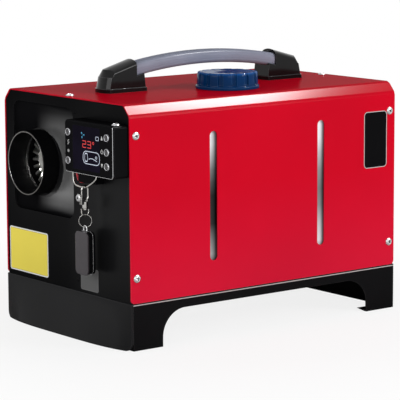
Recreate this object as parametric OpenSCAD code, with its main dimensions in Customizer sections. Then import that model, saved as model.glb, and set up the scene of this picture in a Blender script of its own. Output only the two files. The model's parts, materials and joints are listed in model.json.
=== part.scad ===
// Portable diesel air heater in one case: air heater on the left, fuel tank on the right,
// warm-air outlet and controller at the front, fresh-air intake at the back.
// X runs across the front, Y from the front to the back, Z up from the floor.

/* [Case] */
// Width of the cover
case_w = 255; // [245:1:300]
// Length of the cover
case_l = 400; // [390:1:440]
// Height of the cover's top above the floor
case_h = 280; // [278:1:310]
// Height of the base, from the floor to the lower edge of the cover
base_h = 54.5; // [50:0.5:58]
// Thickness of the sheet steel
sheet_t = 1.5; // [1:0.1:1.8]
// Width of the slanted top edge of the cover
edge_w = 11.5; // [8:0.5:13]
// Height of the slanted top edge of the cover
edge_h = 13; // [9:0.5:14]
// Radius of the cover's lower corners
cover_corner_r = 5; // [2:0.5:8]
// How far the end panels sit inside the cover's ends
panel_inset = 1; // [0.5:0.1:1.5]
// Depth of the flanges round the end panels
panel_flange = 16; // [13:0.5:17]

/* [Tank slots in the cover] */
// Width of a slot
slot_w = 11; // [8:0.5:14]
// Height of a slot's lower end
slot_low = 91.5; // [88:0.5:120]
// Height of a slot's upper end
slot_high = 242; // [200:1:250]
// Distance of a slot from its end of the cover
slot_from_end = 118.7; // [90:0.5:140]

/* [Screws] */
// Diameter of a pan head
head_d = 9.5; // [8:0.1:10]
// Height of a pan head
head_h = 2.2; // [1.5:0.1:2.4]
// Diameter of the thread
thread_d = 4; // [3:0.1:4.5]
// Distance of the side screws from the ends of the cover
side_screw_y = 8.5; // [7:0.1:10]
// Height of the lower side screws
side_screw_low = 83; // [75:1:100]
// Height of the upper side screws
side_screw_high = 245; // [230:1:255]

/* [Base] */
// Thickness of the base skirt
skirt_t = 2; // [1.5:0.1:3]
// Length of a foot along the side
foot_l = 44.5; // [36:0.5:60]
// Height of the arch between the feet
arch_h = 42; // [36:0.5:44]
// Radius of the arch's corners
arch_r = 31.5; // [15:0.5:34]
// Width of the turned-in foot flange
foot_flange = 18; // [12:0.5:24]
// Thickness of the front apron
apron_t = 3; // [2:0.1:4]
// How far the apron's lower edge bows forward
apron_bow = 11; // [0:0.5:16]

/* [Warm-air outlet] */
// Distance of the outlet's axis from the left side of the case
duct_from_left = 58.8; // [57.5:0.1:59.5]
// Height of the outlet's axis
duct_z = 195.3; // [190:0.1:200]
// Outer diameter of the outlet duct
duct_d = 77; // [72:0.5:80]
// Wall of the outlet duct
duct_wall = 2.5; // [1.5:0.1:3.5]
// How far the duct stands out in front of the case
duct_reach = 10; // [4:0.5:20]
// Distance of the recess round the outlet from the left side
recess_from_left = 17.6; // [16.5:0.1:19]
// Width of the recess
recess_w = 124.8; // [122:0.1:126]
// Height of the recess's lower edge
recess_low = 137; // [130:0.5:150]
// Height of the recess itself
recess_h = 130; // [105:0.5:131]
// Corner radius of the recess
recess_r = 12; // [6:0.5:20]
// Depth of the recess
recess_depth = 10; // [6:0.5:14]

/* [Air heater] */
// Outer diameter of the plastic shells
heater_d = 110; // [108:0.5:112]
// Wall of the plastic shells
shell_t = 2.5; // [2:0.1:3]
// Distance from the end of the plastic shells to the rear panel
inlet_reach = 11.5; // [10:0.5:20]
// Number of fins on the heat exchanger
fin_count = 24; // [16:1:28]
// Thickness of a fin
fin_t = 2.6; // [1.8:0.1:3]
// Outer radius of the fins
fin_r = 50; // [46:0.5:51]
// Outer radius of the heat exchanger's barrel
barrel_r = 34; // [31:0.5:37]
// Wall of the heat exchanger's barrel
barrel_wall = 4; // [3:0.1:5]
// Radius of the barrel's nose
nose_r = 18; // [14:0.5:24]
// Outer radius of the burner tube
burner_r = 25; // [20:0.5:26]
// Outer radius of the fan wheel
fan_r = 47; // [42:0.5:48]
// Number of fan blades
blade_count = 9; // [5:1:11]
// Radius of the fan motor
motor_r = 24; // [20:0.5:28]
// Radius of the motor shaft
shaft_r = 4; // [3:0.1:5]
// Height of the exchanger's flat seat above the floor
seat_z = 130.3; // [124:0.1:136]
// Outer radius of the exhaust stub
exhaust_r = 12; // [10:0.5:13]
// Outer radius of the combustion air stub
air_stub_r = 12.5; // [10:0.5:13]
// Height of the lower end of both stubs above the floor
stub_low = 27; // [15:0.5:35]

/* [Fuel tank] */
// Distance of the tank from the left side of the case
tank_from_left = 122; // [121.5:0.1:124.5]
// Gap between the tank and the cover's side
tank_side_gap = 1.7; // [1:0.1:4]
// Height of the tank's top
tank_top = 268; // [255:1:270]
// Distance of the tank from the ends of the cover
tank_end_gap = 22; // [19:0.5:40]
// Wall of the tank
tank_wall = 3; // [2:0.1:4]
// Rounding of the tank's edges
tank_r = 14; // [8:0.5:20]
// Outer radius of the filler neck
neck_r = 28; // [24:0.5:30]
// Wall of the filler neck
neck_wall = 3.5; // [2.5:0.1:4]
// Distance of the filler neck from the right side of the case
neck_from_right = 76.5; // [71.5:0.5:80.5]

/* [Fuel cap] */
// Radius of the cap at its lower edge
cap_r = 38; // [36:0.5:40]
// Radius of the cap at its top
cap_top_r = 34.5; // [32:0.5:36]
// Height of the cap
cap_h = 18.5; // [16:0.5:22]
// Number of finger flutes round the cap
flute_count = 14; // [8:1:18]
// Radius of a flute
flute_r = 5; // [3:0.5:7]

/* [Handle] */
// Width of the handle's feet
handle_w = 32; // [28:0.5:36]
// Distance of the handle's feet from the ends of the cover
handle_from_end = 50; // [46:0.5:80]
// Length of a handle foot
handle_foot_l = 57; // [50:0.5:60]
// Length of the part of a foot that the hood covers
hood_l = 44; // [38:0.5:46]
// Height of the grip's top above the cover, at the middle
handle_rise = 42.5; // [38:0.5:50]
// Fall of the grip from its middle to a foot
grip_fall = 7.5; // [4:0.5:10]
// Thickness of the grip
grip_t = 16; // [13:0.5:18]
// Width of the grip
grip_w = 24; // [20:0.5:25]

/* [Controller] */
// Width of the controller
ctrl_w = 93.5; // [91:0.5:93.5]
// Height of the controller
ctrl_h = 60; // [58:0.5:61]
// Distance of the controller from the right side of the case
ctrl_from_right = 2.5; // [2.5:0.1:3.5]
// Height of the controller's lower edge
ctrl_low = 198; // [196:0.5:200]
// How far the controller's face stands in front of the case
ctrl_depth = 22; // [20:0.5:26]
// Thickness of the controller's face frame
face_t = 3; // [2.5:0.1:3.5]
// Diameter of a key
key_d = 9; // [7:0.5:9.5]
// How far a key stands out
key_proud = 1.5; // [1:0.1:2.5]
// Travel of a key
key_travel = 0.8; // [0.5:0.1:1]

/* [Remote control] */
// Distance of the hanging remote from the controller's left edge
chain_from_ctrl = 27; // [25.5:0.1:28.5]
// How far in front of the case the remote hangs
chain_reach = 13.5; // [13.5:0.1:15]
// Height of the wire that the clasp hangs on
chain_top = 181; // [179:0.1:182]
// Width of the remote
remote_w = 25; // [22:0.5:27]
// Height of the remote
remote_h = 50; // [42:0.5:56]
// Thickness of the remote
remote_t = 12; // [10:0.5:12.5]
// Outer diameter of the split ring
ring_d = 16; // [14:0.5:18]

/* [Hidden] */
$fn = 64;

// Fits between pieces
slip = 0.3;
run = 0.05;
panel_gap = 0.2;
eps = 0.01;

// The origin lies on the floor under the middle of the whole object
gland_reach = 12;
front_reach = ctrl_depth + key_proud;
rear_reach = gland_reach;
face_y = -(case_l + rear_reach - front_reach) / 2;

// Colours
red = [0.78, 0.02, 0.12];
black = [0.06, 0.06, 0.07];
dark = [0.16, 0.16, 0.17];
silver = [0.78, 0.78, 0.8];
white = [0.9, 0.9, 0.88];
blue = [0.1, 0.28, 0.55];

// Places shared by several pieces
side_x = case_w / 2;
duct_x = duct_from_left - side_x;
recess_left = recess_from_left - side_x;
tank_left = tank_from_left - side_x;
neck_x = side_x - neck_from_right;
ctrl_right = side_x - ctrl_from_right;
panel_back = panel_inset + sheet_t;
pan_back = panel_inset + recess_depth + sheet_t;
duct_r = duct_d / 2;
duct_bore_r = duct_r - duct_wall;
duct_flange_t = 2.5;
heater_front = pan_back + duct_flange_t;
heater_back = case_l - panel_back - inlet_reach;
heater_l = heater_back - heater_front;
heater_r = heater_d / 2;
heater_bore_r = heater_r - shell_t;
plate_top = base_h;
plate_low = base_h - sheet_t;
skirt_top = plate_low;

// Heat exchanger and burner, along the heater's axis
exchanger_y = heater_front + 7;
drive_l = 131;
exchanger_l = heater_l - drive_l;
exchanger_end = exchanger_y + exchanger_l;
nose_l = 48;
foot_half_w = 32;
foot_y = 92;
foot_len = 100;
air_stub_y = foot_y + 24;
exhaust_y = foot_y + foot_len - 24;
fuel_inlet_x = duct_x + 22;
fuel_inlet_y = foot_y + foot_len / 2;
burner_l = 112;
burner_wall = 1.5;
burner_rim_t = 3;
plug_y = exchanger_end - 22;
plug_r = 4;
housing_l = 33;
housing_y = exchanger_end + 3;
motor_y = housing_y + housing_l;
motor_l = 40;
fan_y = motor_y + motor_l + 10;
fan_l = 22;
wheel_y = housing_y + 10;
wheel_l = 12;
stand_t = 2;
stub_room = 1.5;
stand_half_w = 50;
stand_y = foot_y - 12;
stand_l = foot_len + 24;

// Intake at the back
intake_r = 46;
guard_r = 52;
guard_t = 6;
gland_x = 97.5 - side_x;
gland_z = 90;

// Tank
tank_right = side_x - sheet_t - tank_side_gap;
tank_w = tank_right - tank_left;
tank_low = plate_top + 3;
tank_l = case_l - 2 * tank_end_gap;
neck_y = case_l / 2;
grommet_lip = 1;
cap_low = case_h + grommet_lip + slip;
cap_high = cap_low + cap_h;
cap_crown = 4;
gasket_t = 1.5;
gasket_top = cap_high - cap_crown - 0.1;
neck_top = gasket_top - gasket_t - 0.1;
grommet_r = neck_r + 3;
outlet_y = case_l - 168;
outlet_z = plate_top + 20;

// Fuel pump and filter on their bracket
pump_x = 52.5 - side_x;
pump_y = case_l - 150;
pump_l = 90;
pump_end_l = 18;
pump_neck_r = 9;
pump_head_l = 12;
pump_head_r = 8;
pump_z = plate_top + 38;
pump_r = 14;
filter_x = 89.5 - side_x;
filter_y = case_l - 138;
filter_l = 50;
filter_z = plate_top + 26;
filter_r = 12;
filter_cone_l = 6;
filter_shoulder = 4;
nozzle_l = 10;
nozzle_r = 2.5;
bracket_y = case_l - 122;
bracket_l = 16;

// Handle
grip_top = case_h + handle_rise;
grip_mid = grip_top - grip_t / 2;
mouth_y = handle_from_end + handle_foot_l;
hood_end = handle_from_end + hood_l;
grip_half = case_l / 2 - hood_end + 14;
arc_half = case_l / 2 - mouth_y;
grip_arc_r = (arc_half * arc_half + grip_fall * grip_fall) / (2 * grip_fall);
grip_angle = asin(grip_half / grip_arc_r);
core_w = 15;
core_t = 3;

// Controller
ctrl_left = ctrl_right - ctrl_w;
ctrl_high = ctrl_low + ctrl_h;
ctrl_r = 4;
ctrl_wall = 2;
face_back = -ctrl_depth + face_t;
key_r = key_d / 2;
key_flange_t = 1.2;
key_lip = 0.8;
board_front = face_back + 6;
board_t = 1.6;
key_column_left = ctrl_left + 7.5;
key_column_right = ctrl_right - 10.5;
key_high = ctrl_low + 46;
key_mid = ctrl_low + 29.7;
key_bottom = ctrl_low + 13.6;
window_left = ctrl_left + 16;
window_w = 53;
socket_left = ctrl_left + 11;
socket_w = 34;
socket_h = 12;
socket_front = -11.5;
ctrl_screw_x = ctrl_right - 7;
ctrl_screw_y = -12;

// Chain of small parts that holds the remote
chain_x = ctrl_left + chain_from_ctrl;
chain_y = -chain_reach;
bail_r = 0.9;
hook_wire = 1.1;
hook_r = 4.4;
hook_z = chain_top + bail_r + 0.2 + hook_wire - hook_r;
clasp_low = chain_top - 23;
clasp_neck = clasp_low + 7;
lever_z = clasp_neck + 5;
eye_wire = 0.7;
eye_r = 5;
collar_z = clasp_low - slip;
ring_wire = 0.6;
ring_mid_r = ring_d / 2 - ring_wire;
eye_drop = 9.25;
eye_bottom = clasp_low - eye_drop;
ring_z = eye_bottom + eye_wire + 0.15 + ring_wire - ring_mid_r;
ring_turn = 52;
ear_wire = 0.9;
ear_r = 3;
ear_top = ring_z - ring_mid_r + ring_wire + 0.15 + ear_wire;
remote_top = ear_top - 6;
remote_low = remote_top - remote_h;
remote_r = 6;
cover_t = 2;
remote_front = chain_y - remote_t / 2;
remote_face = remote_front + cover_t + slip;
remote_key_r = 4;
runner_w = 1.2;
runner_t = 1;
runner_xs = [-8, 8];

// General helpers

// Everything is drawn from the case's front face and then set about the origin
module placed() translate([0, face_y, 0]) children();

// Extrudes an outline given in X and Z from y over a length
module along_y(y, l) translate([0, y + l, 0]) rotate([90, 0, 0]) linear_extrude(l) children();

// Extrudes an outline given in Y and Z from x over a length
module along_x(x, l) translate([x, 0, 0]) rotate([90, 0, 90]) linear_extrude(l) children();

// Turns a shape drawn along +Z so that it runs along +Y on the heater's axis
module on_axis(y) translate([duct_x, y, duct_z]) rotate([-90, 0, 0]) children();

// Mirrors what is drawn for the front end to the back end
module at_both_ends() {
    children();
    translate([0, case_l, 0]) mirror([0, 1, 0]) children();
}

// A rectangle with round corners, from its lower left corner
module round_rect(x, y, w, h, r) {
    translate([x + r, y]) square([w - 2 * r, h]);
    translate([x, y + r]) square([w, h - 2 * r]);
    for (i = [x + r, x + w - r], j = [y + r, y + h - r]) translate([i, j]) circle(r);
}

// A round bar between two points
module rod(a, b, r) {
    v = b - a;
    translate(a) rotate([0, acos(v[2] / norm(v)), atan2(v[1], v[0])]) cylinder(r = r, h = norm(v));
}

function unit(v) = v / norm(v);

// A point of a smooth curve through p, between p[i] and p[i + 1]
function curve_point(p, i, t) =
    let (a = p[max(i - 1, 0)], b = p[i], c = p[i + 1], d = p[min(i + 2, len(p) - 1)])
    0.5 * (2 * b + (c - a) * t + (2 * a - 5 * b + 4 * c - d) * t * t + (3 * b - 3 * c + d - a) * t * t * t);

// The curve through p, with n steps from each point to the next and a straight run at both ends
function curve(p, n) =
    let (m = len(p) - 1,
        q = concat([p[0], (p[0] + p[1]) / 2], [for (i = [1:m - 1]) p[i]], [(p[m - 1] + p[m]) / 2, p[m]]))
    concat([for (i = [0:len(q) - 2], k = [0:n - 1]) curve_point(q, i, k / n)], [q[len(q) - 1]]);

function tangent(p, i) = unit(p[min(i + 1, len(p) - 1)] - p[max(i - 1, 0)]);

// A tube of a given radius along a curve
module tube(p, r, sides = 8) {
    n = len(p);
    ring = [for (i = [0:n - 1])
        let (t = tangent(p, i), u = unit(cross(t, [0.83, 0.31, 0.46])), v = cross(t, u))
        for (s = [0:sides - 1]) p[i] + r * (cos(360 * s / sides) * u + sin(360 * s / sides) * v)];
    walls = [for (i = [0:n - 2], s = [0:sides - 1])
        let (a = i * sides + s, b = i * sides + (s + 1) % sides) [a, a + sides, b + sides, b]];
    ends = [[for (s = [0:sides - 1]) s], [for (s = [sides - 1:-1:0]) (n - 1) * sides + s]];
    polyhedron(ring, concat(walls, ends));
}

// Outline of the cover, moved inwards by i, from z_low up
function case_outline(i, z_low) =
    let (l = norm([edge_w, edge_h]),
        z = case_h - edge_h - i * (l - edge_h) / edge_w,
        x = side_x - edge_w - i * (l - edge_w) / edge_h)
    [[-side_x + i, z_low], [-side_x + i, z], [-x, case_h - i], [x, case_h - i], [side_x - i, z],
        [side_x - i, z_low]];

// Screws

// Every place where a pan screw sits: position of the head's seat and direction of the head
base_screw_x = side_x - 9;
screw_from_end = 30;
base_screw_ys = [screw_from_end, case_l * 0.625, case_l - screw_from_end];
apron_screw_x = 60;
handle_screw_ys = [handle_from_end + 14, handle_from_end + handle_foot_l - 16];
pan_screw_x = recess_left + recess_w + 9.9;
pan_screw_z = 163.8;
side_seats = [for (s = [-1, 1], y = [side_screw_y, case_l - side_screw_y],
    z = [side_screw_low, side_screw_high]) [[s * side_x, y, z], [0, 90 * s, 0]]];
top_seats = [for (y = [side_screw_y - 1, case_l - side_screw_y + 1]) [[0, y, case_h], [0, 0, 0]]];
apron_seats = [for (s = [-1, 1]) [[s * apron_screw_x, apron_t + 7, plate_top + sheet_t], [0, 0, 0]]];
stand_seats = [for (s = [-1, 1], y = [stand_y + 10, stand_y + stand_l - 10])
    [[duct_x + s * (stand_half_w - 10), y, plate_top + stand_t], [0, 0, 0]]];
bracket_seats = [for (x = [pump_x + 11, filter_x - 11])
    [[x, bracket_y + bracket_l / 2, plate_top + stand_t], [0, 0, 0]]];
base_seats = concat([for (s = [-1, 1], y = base_screw_ys) [[s * base_screw_x, y, plate_top], [0, 0, 0]]],
    apron_seats, stand_seats, bracket_seats);
handle_seats = [for (y = handle_screw_ys, e = [0, 1])
    [[0, e ? case_l - y : y, case_h - sheet_t], [180, 0, 0]]];
pan_seats = [[[pan_screw_x, panel_inset, pan_screw_z], [90, 0, 0]]];
ctrl_seats = [[[ctrl_screw_x, ctrl_screw_y, ctrl_high], [0, 0, 0]]];
short_thread = 6;

// Runs its children at each seat, with +Z along the head
module at_seats(seats) for (s = seats) translate(s[0]) rotate(s[1]) children();

module pan_screw() {
    rotate_extrude() polygon([[0, 0], [head_d / 2, 0], [head_d / 2, head_h * 0.4], [head_d * 0.4, head_h * 0.8],
        [head_d * 0.22, head_h], [0, head_h]]);
    translate([0, 0, -short_thread]) cylinder(d = thread_d, h = short_thread + 0.5);
}

module screw_holes(seats) at_seats(seats)
    translate([0, 0, -short_thread - 1]) cylinder(r = thread_d / 2 + 0.1, h = short_thread + 2);

module pan_screws() color(silver) placed()
    at_seats(concat(side_seats, top_seats, base_seats, handle_seats, pan_seats, ctrl_seats)) pan_screw();

// Case

module outer_cover() color(red) placed() difference() {
    along_y(0, case_l) difference() {
        polygon(case_outline(0, base_h));
        polygon(case_outline(sheet_t, base_h - 1));
    }
    // Round lower corners of both sides
    at_both_ends() along_x(-side_x - 1, case_w + 2) difference() {
        translate([-1, base_h - 1]) square([cover_corner_r + 1, cover_corner_r + 1]);
        translate([cover_corner_r, base_h + cover_corner_r]) circle(cover_corner_r);
    }
    // Slots that show the fuel level
    at_both_ends() along_x(side_x - 2 * sheet_t, 4 * sheet_t)
        round_rect(slot_from_end - slot_w / 2, slot_low, slot_w, slot_high - slot_low, slot_w / 2 - eps);
    translate([neck_x, neck_y, case_h - 2 * sheet_t]) cylinder(r = grommet_r, h = 4 * sheet_t);
    screw_holes(concat(side_seats, top_seats, handle_seats));
}

// A panel with flanges turned inwards, for the front end
module end_panel() difference() {
    along_y(panel_inset, panel_flange) polygon(case_outline(sheet_t + panel_gap, plate_top));
    along_y(panel_back, panel_flange) polygon(case_outline(2 * sheet_t + panel_gap, plate_top + sheet_t));
}

lead_x = ctrl_left + 4.5;
lead_z = 184;
lead_r = 1.6;

module front_panel() color(black) placed() difference() {
    end_panel();
    along_y(panel_inset - 1, sheet_t + 2)
        round_rect(recess_left, recess_low, recess_w, recess_h, recess_r);
    screw_holes(concat(side_seats, top_seats, pan_seats, apron_seats));
    translate([lead_x, panel_inset - 1, lead_z]) rotate([-90, 0, 0]) cylinder(r = lead_r + 0.4, h = 4);
}

module rear_panel() color(black) placed() difference() {
    translate([0, case_l, 0]) mirror([0, 1, 0]) end_panel();
    on_axis(case_l - panel_back - 1) cylinder(r = intake_r, h = sheet_t + 3);
    translate([gland_x, case_l - panel_back - 1, gland_z]) rotate([-90, 0, 0]) cylinder(r = 8, h = sheet_t + 3);
    screw_holes(concat(side_seats, top_seats));
}

// Pressed pan behind the opening of the front panel
pan_margin = 5;
hose_room = 2;
pan_tab = pan_screw_x + 7 - (recess_left + recess_w);

module outlet_recess_pan() color(dark) placed() difference() {
    union() {
        along_y(panel_back, sheet_t) round_rect(recess_left - pan_margin, recess_low - pan_margin,
            recess_w + pan_margin + pan_tab, recess_h + 2 * pan_margin, recess_r);
        along_y(panel_back, pan_back - panel_back) round_rect(recess_left - sheet_t, recess_low - sheet_t,
            recess_w + 2 * sheet_t, recess_h + 2 * sheet_t, recess_r + sheet_t);
    }
    along_y(0, pan_back - sheet_t) round_rect(recess_left, recess_low, recess_w, recess_h, recess_r);
    on_axis(0) cylinder(r = duct_r + hose_room, h = pan_back + 1);
    screw_holes(pan_seats);
}

module floor_plate() color(black) placed() difference() {
    translate([-side_x, apron_t, plate_low]) cube([case_w, case_l - apron_t, sheet_t]);
    for (p = [[exhaust_y, exhaust_r], [air_stub_y, air_stub_r]])
        translate([duct_x, p[0], plate_low - 1]) cylinder(r = p[1] + 3, h = sheet_t + 2);
    screw_holes(base_seats);
}

// Moulded apron: straight along its top, bowed forward along its lower edge
apron_steps = 24;
apron_rows = 6;
function apron_y(x, z) = -apron_bow * (1 - pow(abs(x) / side_x, 4)) * pow(1 - z / base_h, 1.6);

module apron_shell() {
    cols = apron_steps + 1;
    rows = apron_rows + 1;
    skin = [for (d = [0, apron_t], j = [0:apron_rows], i = [0:apron_steps])
        let (x = -side_x + case_w * i / apron_steps, z = (base_h - slip) * j / apron_rows)
        [x, apron_y(x, z) + d, z]];
    function at(k, j, i) = (k * rows + j) * cols + i;
    front = [for (j = [0:apron_rows - 1], i = [0:apron_steps - 1])
        [at(0, j, i), at(0, j + 1, i), at(0, j + 1, i + 1), at(0, j, i + 1)]];
    back = [for (j = [0:apron_rows - 1], i = [0:apron_steps - 1])
        [at(1, j, i), at(1, j, i + 1), at(1, j + 1, i + 1), at(1, j + 1, i)]];
    bottom = [for (i = [0:apron_steps - 1]) [at(0, 0, i), at(0, 0, i + 1), at(1, 0, i + 1), at(1, 0, i)]];
    top = [for (i = [0:apron_steps - 1])
        [at(0, apron_rows, i), at(1, apron_rows, i), at(1, apron_rows, i + 1), at(0, apron_rows, i + 1)]];
    left = [for (j = [0:apron_rows - 1]) [at(0, j, 0), at(1, j, 0), at(1, j + 1, 0), at(0, j + 1, 0)]];
    right = [for (j = [0:apron_rows - 1])
        [at(0, j, apron_steps), at(0, j + 1, apron_steps), at(1, j + 1, apron_steps), at(1, j, apron_steps)]];
    polyhedron(skin, concat(front, back, bottom, top, left, right));
}

module front_apron() color(black) placed() difference() {
    union() {
        apron_shell();
        translate([-apron_screw_x - 20, apron_t - 1, skirt_top - sheet_t]) cube([2 * apron_screw_x + 40, 15, sheet_t]);
    }
    screw_holes(base_seats);
}

// Folded skirt: two sides with feet and arches, and the back
module skirt_side_outline() difference() {
    translate([apron_t, 0]) square([case_l - apron_t, skirt_top]);
    translate([foot_l, -arch_r]) intersection() {
        round_rect(0, 0, case_l - 2 * foot_l, arch_h + arch_r, arch_r);
        translate([0, arch_r - 1]) square([case_l, arch_h + 1]);
    }
}

module base_skirt() color(black) placed() difference() {
    union() {
        for (s = [0, 1]) mirror([s, 0, 0]) {
            along_x(side_x - skirt_t, skirt_t) skirt_side_outline();
            // Top flange and turned-in feet
            translate([side_x - 16, apron_t, skirt_top - sheet_t]) cube([16, case_l - apron_t, sheet_t]);
            for (y = [apron_t, case_l - foot_l]) translate([side_x - foot_flange, y, 0])
                cube([foot_flange, foot_l - (y == apron_t ? apron_t : 0), skirt_t]);
        }
        translate([-side_x, case_l - skirt_t, 0]) cube([case_w, skirt_t, skirt_top]);
        translate([-side_x, case_l - 16, skirt_top - sheet_t]) cube([case_w, 16, sheet_t]);
    }
    screw_holes(base_seats);
}

// Outlet and heater

module outlet_duct() color(black) placed() on_axis(-duct_reach) difference() {
    union() {
        cylinder(r = duct_r, h = duct_reach + heater_front);
        translate([0, 0, duct_reach + pan_back]) cylinder(r = duct_r + 8, h = duct_flange_t);
    }
    translate([0, 0, -1]) cylinder(r = duct_bore_r, h = duct_reach + heater_front + 2);
}

// Half of the plastic casing round the heater, the lower one before it is turned
module half_shell() difference() {
    on_axis(heater_front) rotate_extrude(angle = 180) {
        translate([heater_bore_r, 0]) square([shell_t, heater_l]);
        translate([duct_bore_r, 0]) square([heater_r - duct_bore_r, shell_t]);
    }
}

module heater_upper_shell() color(dark) placed() difference() {
    translate([2 * duct_x, 0, 2 * duct_z]) rotate([0, 180, 0]) half_shell();
    translate([duct_x, loom_y, duct_z]) cylinder(r = loom_r + 1.5, h = heater_r + 1);
}

module heater_lower_shell() color(dark) placed() difference() {
    half_shell();
    translate([duct_x - foot_half_w - 2, foot_y - 2, duct_z - heater_r - 1])
        cube([2 * foot_half_w + 4, foot_len + 4, heater_r]);
}

// Cast barrel with radial fins and a flat foot for the pipes
fin_phase = 12.2;
gasket_z = seat_z;

module heat_exchanger() color(silver) placed() difference() {
    union() {
        on_axis(exchanger_y) rotate_extrude() polygon(concat([[0, 0], [nose_r, 0]],
            [for (k = [1:8]) [nose_r + (barrel_r - nose_r) * sin(90 * k / 8), nose_l * (1 - cos(90 * k / 8))]],
            [[barrel_r, exchanger_l], [0, exchanger_l]]));
        on_axis(exchanger_y) for (i = [0:fin_count - 1]) rotate([0, 0, fin_phase + 360 * i / fin_count])
            rotate([90, 0, 0]) translate([0, 0, -fin_t / 2]) linear_extrude(fin_t)
                polygon([[nose_r - 4, 2], [duct_bore_r, 2], [fin_r, 16], [fin_r, exchanger_l - 12],
                    [barrel_r + 2, exchanger_l - 4], [nose_r - 4, exchanger_l - 4]]);
        translate([duct_x - foot_half_w, foot_y, gasket_z])
            cube([2 * foot_half_w, foot_len, duct_z - gasket_z - barrel_r + 6]);
        translate([duct_x, plug_y, duct_z + barrel_r - 2]) cylinder(r = 9, h = 13);
    }
    on_axis(exchanger_y + nose_l) cylinder(r = barrel_r - barrel_wall, h = exchanger_l);
    translate([duct_x, plug_y, duct_z]) cylinder(r = plug_r + run, h = fin_r);
    translate([duct_x, plug_y, duct_z + barrel_r + 11]) cylinder(r = 8, h = fin_r);
}

module burner_tube() color(silver) placed() difference() {
    union() {
        on_axis(exchanger_end - burner_l) cylinder(r = burner_r, h = burner_l + burner_rim_t);
        on_axis(exchanger_end) cylinder(r = barrel_r, h = burner_rim_t);
    }
    on_axis(exchanger_end - burner_l - 1) cylinder(r = burner_r - burner_wall, h = burner_l + burner_rim_t + 2);
    // Mixing holes round the tube, in two rows
    for (y = [exchanger_end - burner_l * 0.7, exchanger_end - burner_l * 0.55], i = [0:7])
        on_axis(y) rotate([0, 0, 45 * i + 22.5]) rotate([0, 90, 0]) cylinder(r = 2.5, h = burner_r + 1);
    translate([duct_x, plug_y, duct_z]) cylinder(r = plug_r + slip, h = burner_r + 1);
}

module glow_plug() color(silver) placed() translate([duct_x, plug_y, duct_z]) {
    translate([0, 0, 15]) cylinder(r = 2.5, h = 10);
    translate([0, 0, 24]) cylinder(r = plug_r, h = barrel_r - 13);
    translate([0, 0, barrel_r + 11]) cylinder(r = 6, h = 4, $fn = 6);
}

// Casting that holds the motor and the combustion air wheel
module combustion_housing() color(silver) placed() difference() {
    union() {
        on_axis(housing_y) cylinder(r = 38, h = housing_l);
        // Three arms reach the plastic shells
        on_axis(housing_y + housing_l - 12) for (a = [90, 210, 330]) rotate([0, 0, a])
            translate([0, -4, 0]) cube([heater_bore_r - slip, 8, 12]);
        translate([duct_x - 18, motor_y - 12, duct_z + 30]) cube([36, 12, 12]);
    }
    on_axis(wheel_y - 2) cylinder(r = 33, h = wheel_l + 4);
    on_axis(housing_y - 1) cylinder(r = 14, h = 12);
    on_axis(housing_y - 1) cylinder(r = shaft_r + 0.5, h = housing_l + 2);
}

module combustion_wheel() color(dark) placed() on_axis(wheel_y) difference() {
    union() {
        cylinder(r = 30, h = 2);
        cylinder(r = 9, h = wheel_l);
        for (i = [0:11]) rotate([0, 0, 30 * i]) translate([8, -0.8, 0]) cube([21, 1.6, wheel_l - 2]);
    }
    translate([0, 0, -1]) cylinder(r = shaft_r, h = wheel_l + 2);
}

module fan_motor() color(silver) placed() on_axis(motor_y) difference() {
    union() {
        cylinder(r = motor_r, h = motor_l - 4);
        cylinder(r = 10, h = motor_l);
    }
    translate([0, 0, -1]) cylinder(r = shaft_r + run, h = motor_l + 2);
}

module motor_shaft() color(silver) placed() on_axis(wheel_y) cylinder(r = shaft_r, h = fan_y + fan_l - wheel_y);

// Axial fan: pitched blades cut to a ring
module fan_wheel() color(dark) placed() on_axis(fan_y) difference() {
    union() {
        cylinder(r = 19, h = fan_l);
        intersection() {
            difference() {
                translate([0, 0, 1]) cylinder(r = fan_r, h = fan_l - 2);
                translate([0, 0, -1]) cylinder(r = 15, h = fan_l + 2);
            }
            for (i = [0:blade_count - 1]) rotate([0, 0, 360 * i / blade_count])
                rotate([38, 0, 0]) translate([14, -16, -1]) cube([fan_r, 46, 2.2]);
        }
    }
    translate([0, 0, -1]) cylinder(r = shaft_r, h = fan_l + 2);
}

module inlet_ring() color(dark) placed() difference() {
    union() {
        on_axis(fan_y - 4) cylinder(r = heater_bore_r - slip, h = case_l - panel_back - fan_y + 4);
        on_axis(heater_back) cylinder(r = heater_r, h = case_l - panel_back - heater_back);
    }
    on_axis(fan_y - 5) cylinder(r = fan_r + 2, h = case_l);
}

module intake_guard() color(black) placed() {
    y = case_l - panel_inset;
    on_axis(y - sheet_t) rotate_extrude() {
        translate([intake_r - slip - 2, 0]) square([2, sheet_t + 2]);
        translate([intake_r - slip - 2, sheet_t]) square([guard_r - intake_r + slip + 2, 2]);
    }
    on_axis(y + 1) rotate_extrude() {
        translate([intake_r - 3, -1]) square([3, guard_t - 1]);
        for (r = [18, 27, 36]) translate([r, guard_t - 4]) square([1.8, 2.5]);
    }
    on_axis(y + guard_t - 4) {
        cylinder(r = 10, h = 3.5);
        for (i = [0:5]) rotate([0, 0, 60 * i]) translate([8, -1.2, 0]) cube([intake_r - 10, 2.4, 2.5]);
    }
}

module control_board() color([0.05, 0.25, 0.12]) placed() {
    z = duct_z + 42;
    difference() {
        translate([duct_x - 22, motor_y - 14, z]) cube([44, 46, board_t]);
        translate([duct_x - 5.5, loom_y - 5.5, z - 1]) cube([11, 11, board_t + 2]);
    }
    translate([duct_x - 16, motor_y - 8, z + board_t]) cube([12, 10, 5]);
    translate([duct_x + 10, motor_y, z + board_t]) cylinder(r = 4, h = 4.5);
}

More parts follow.
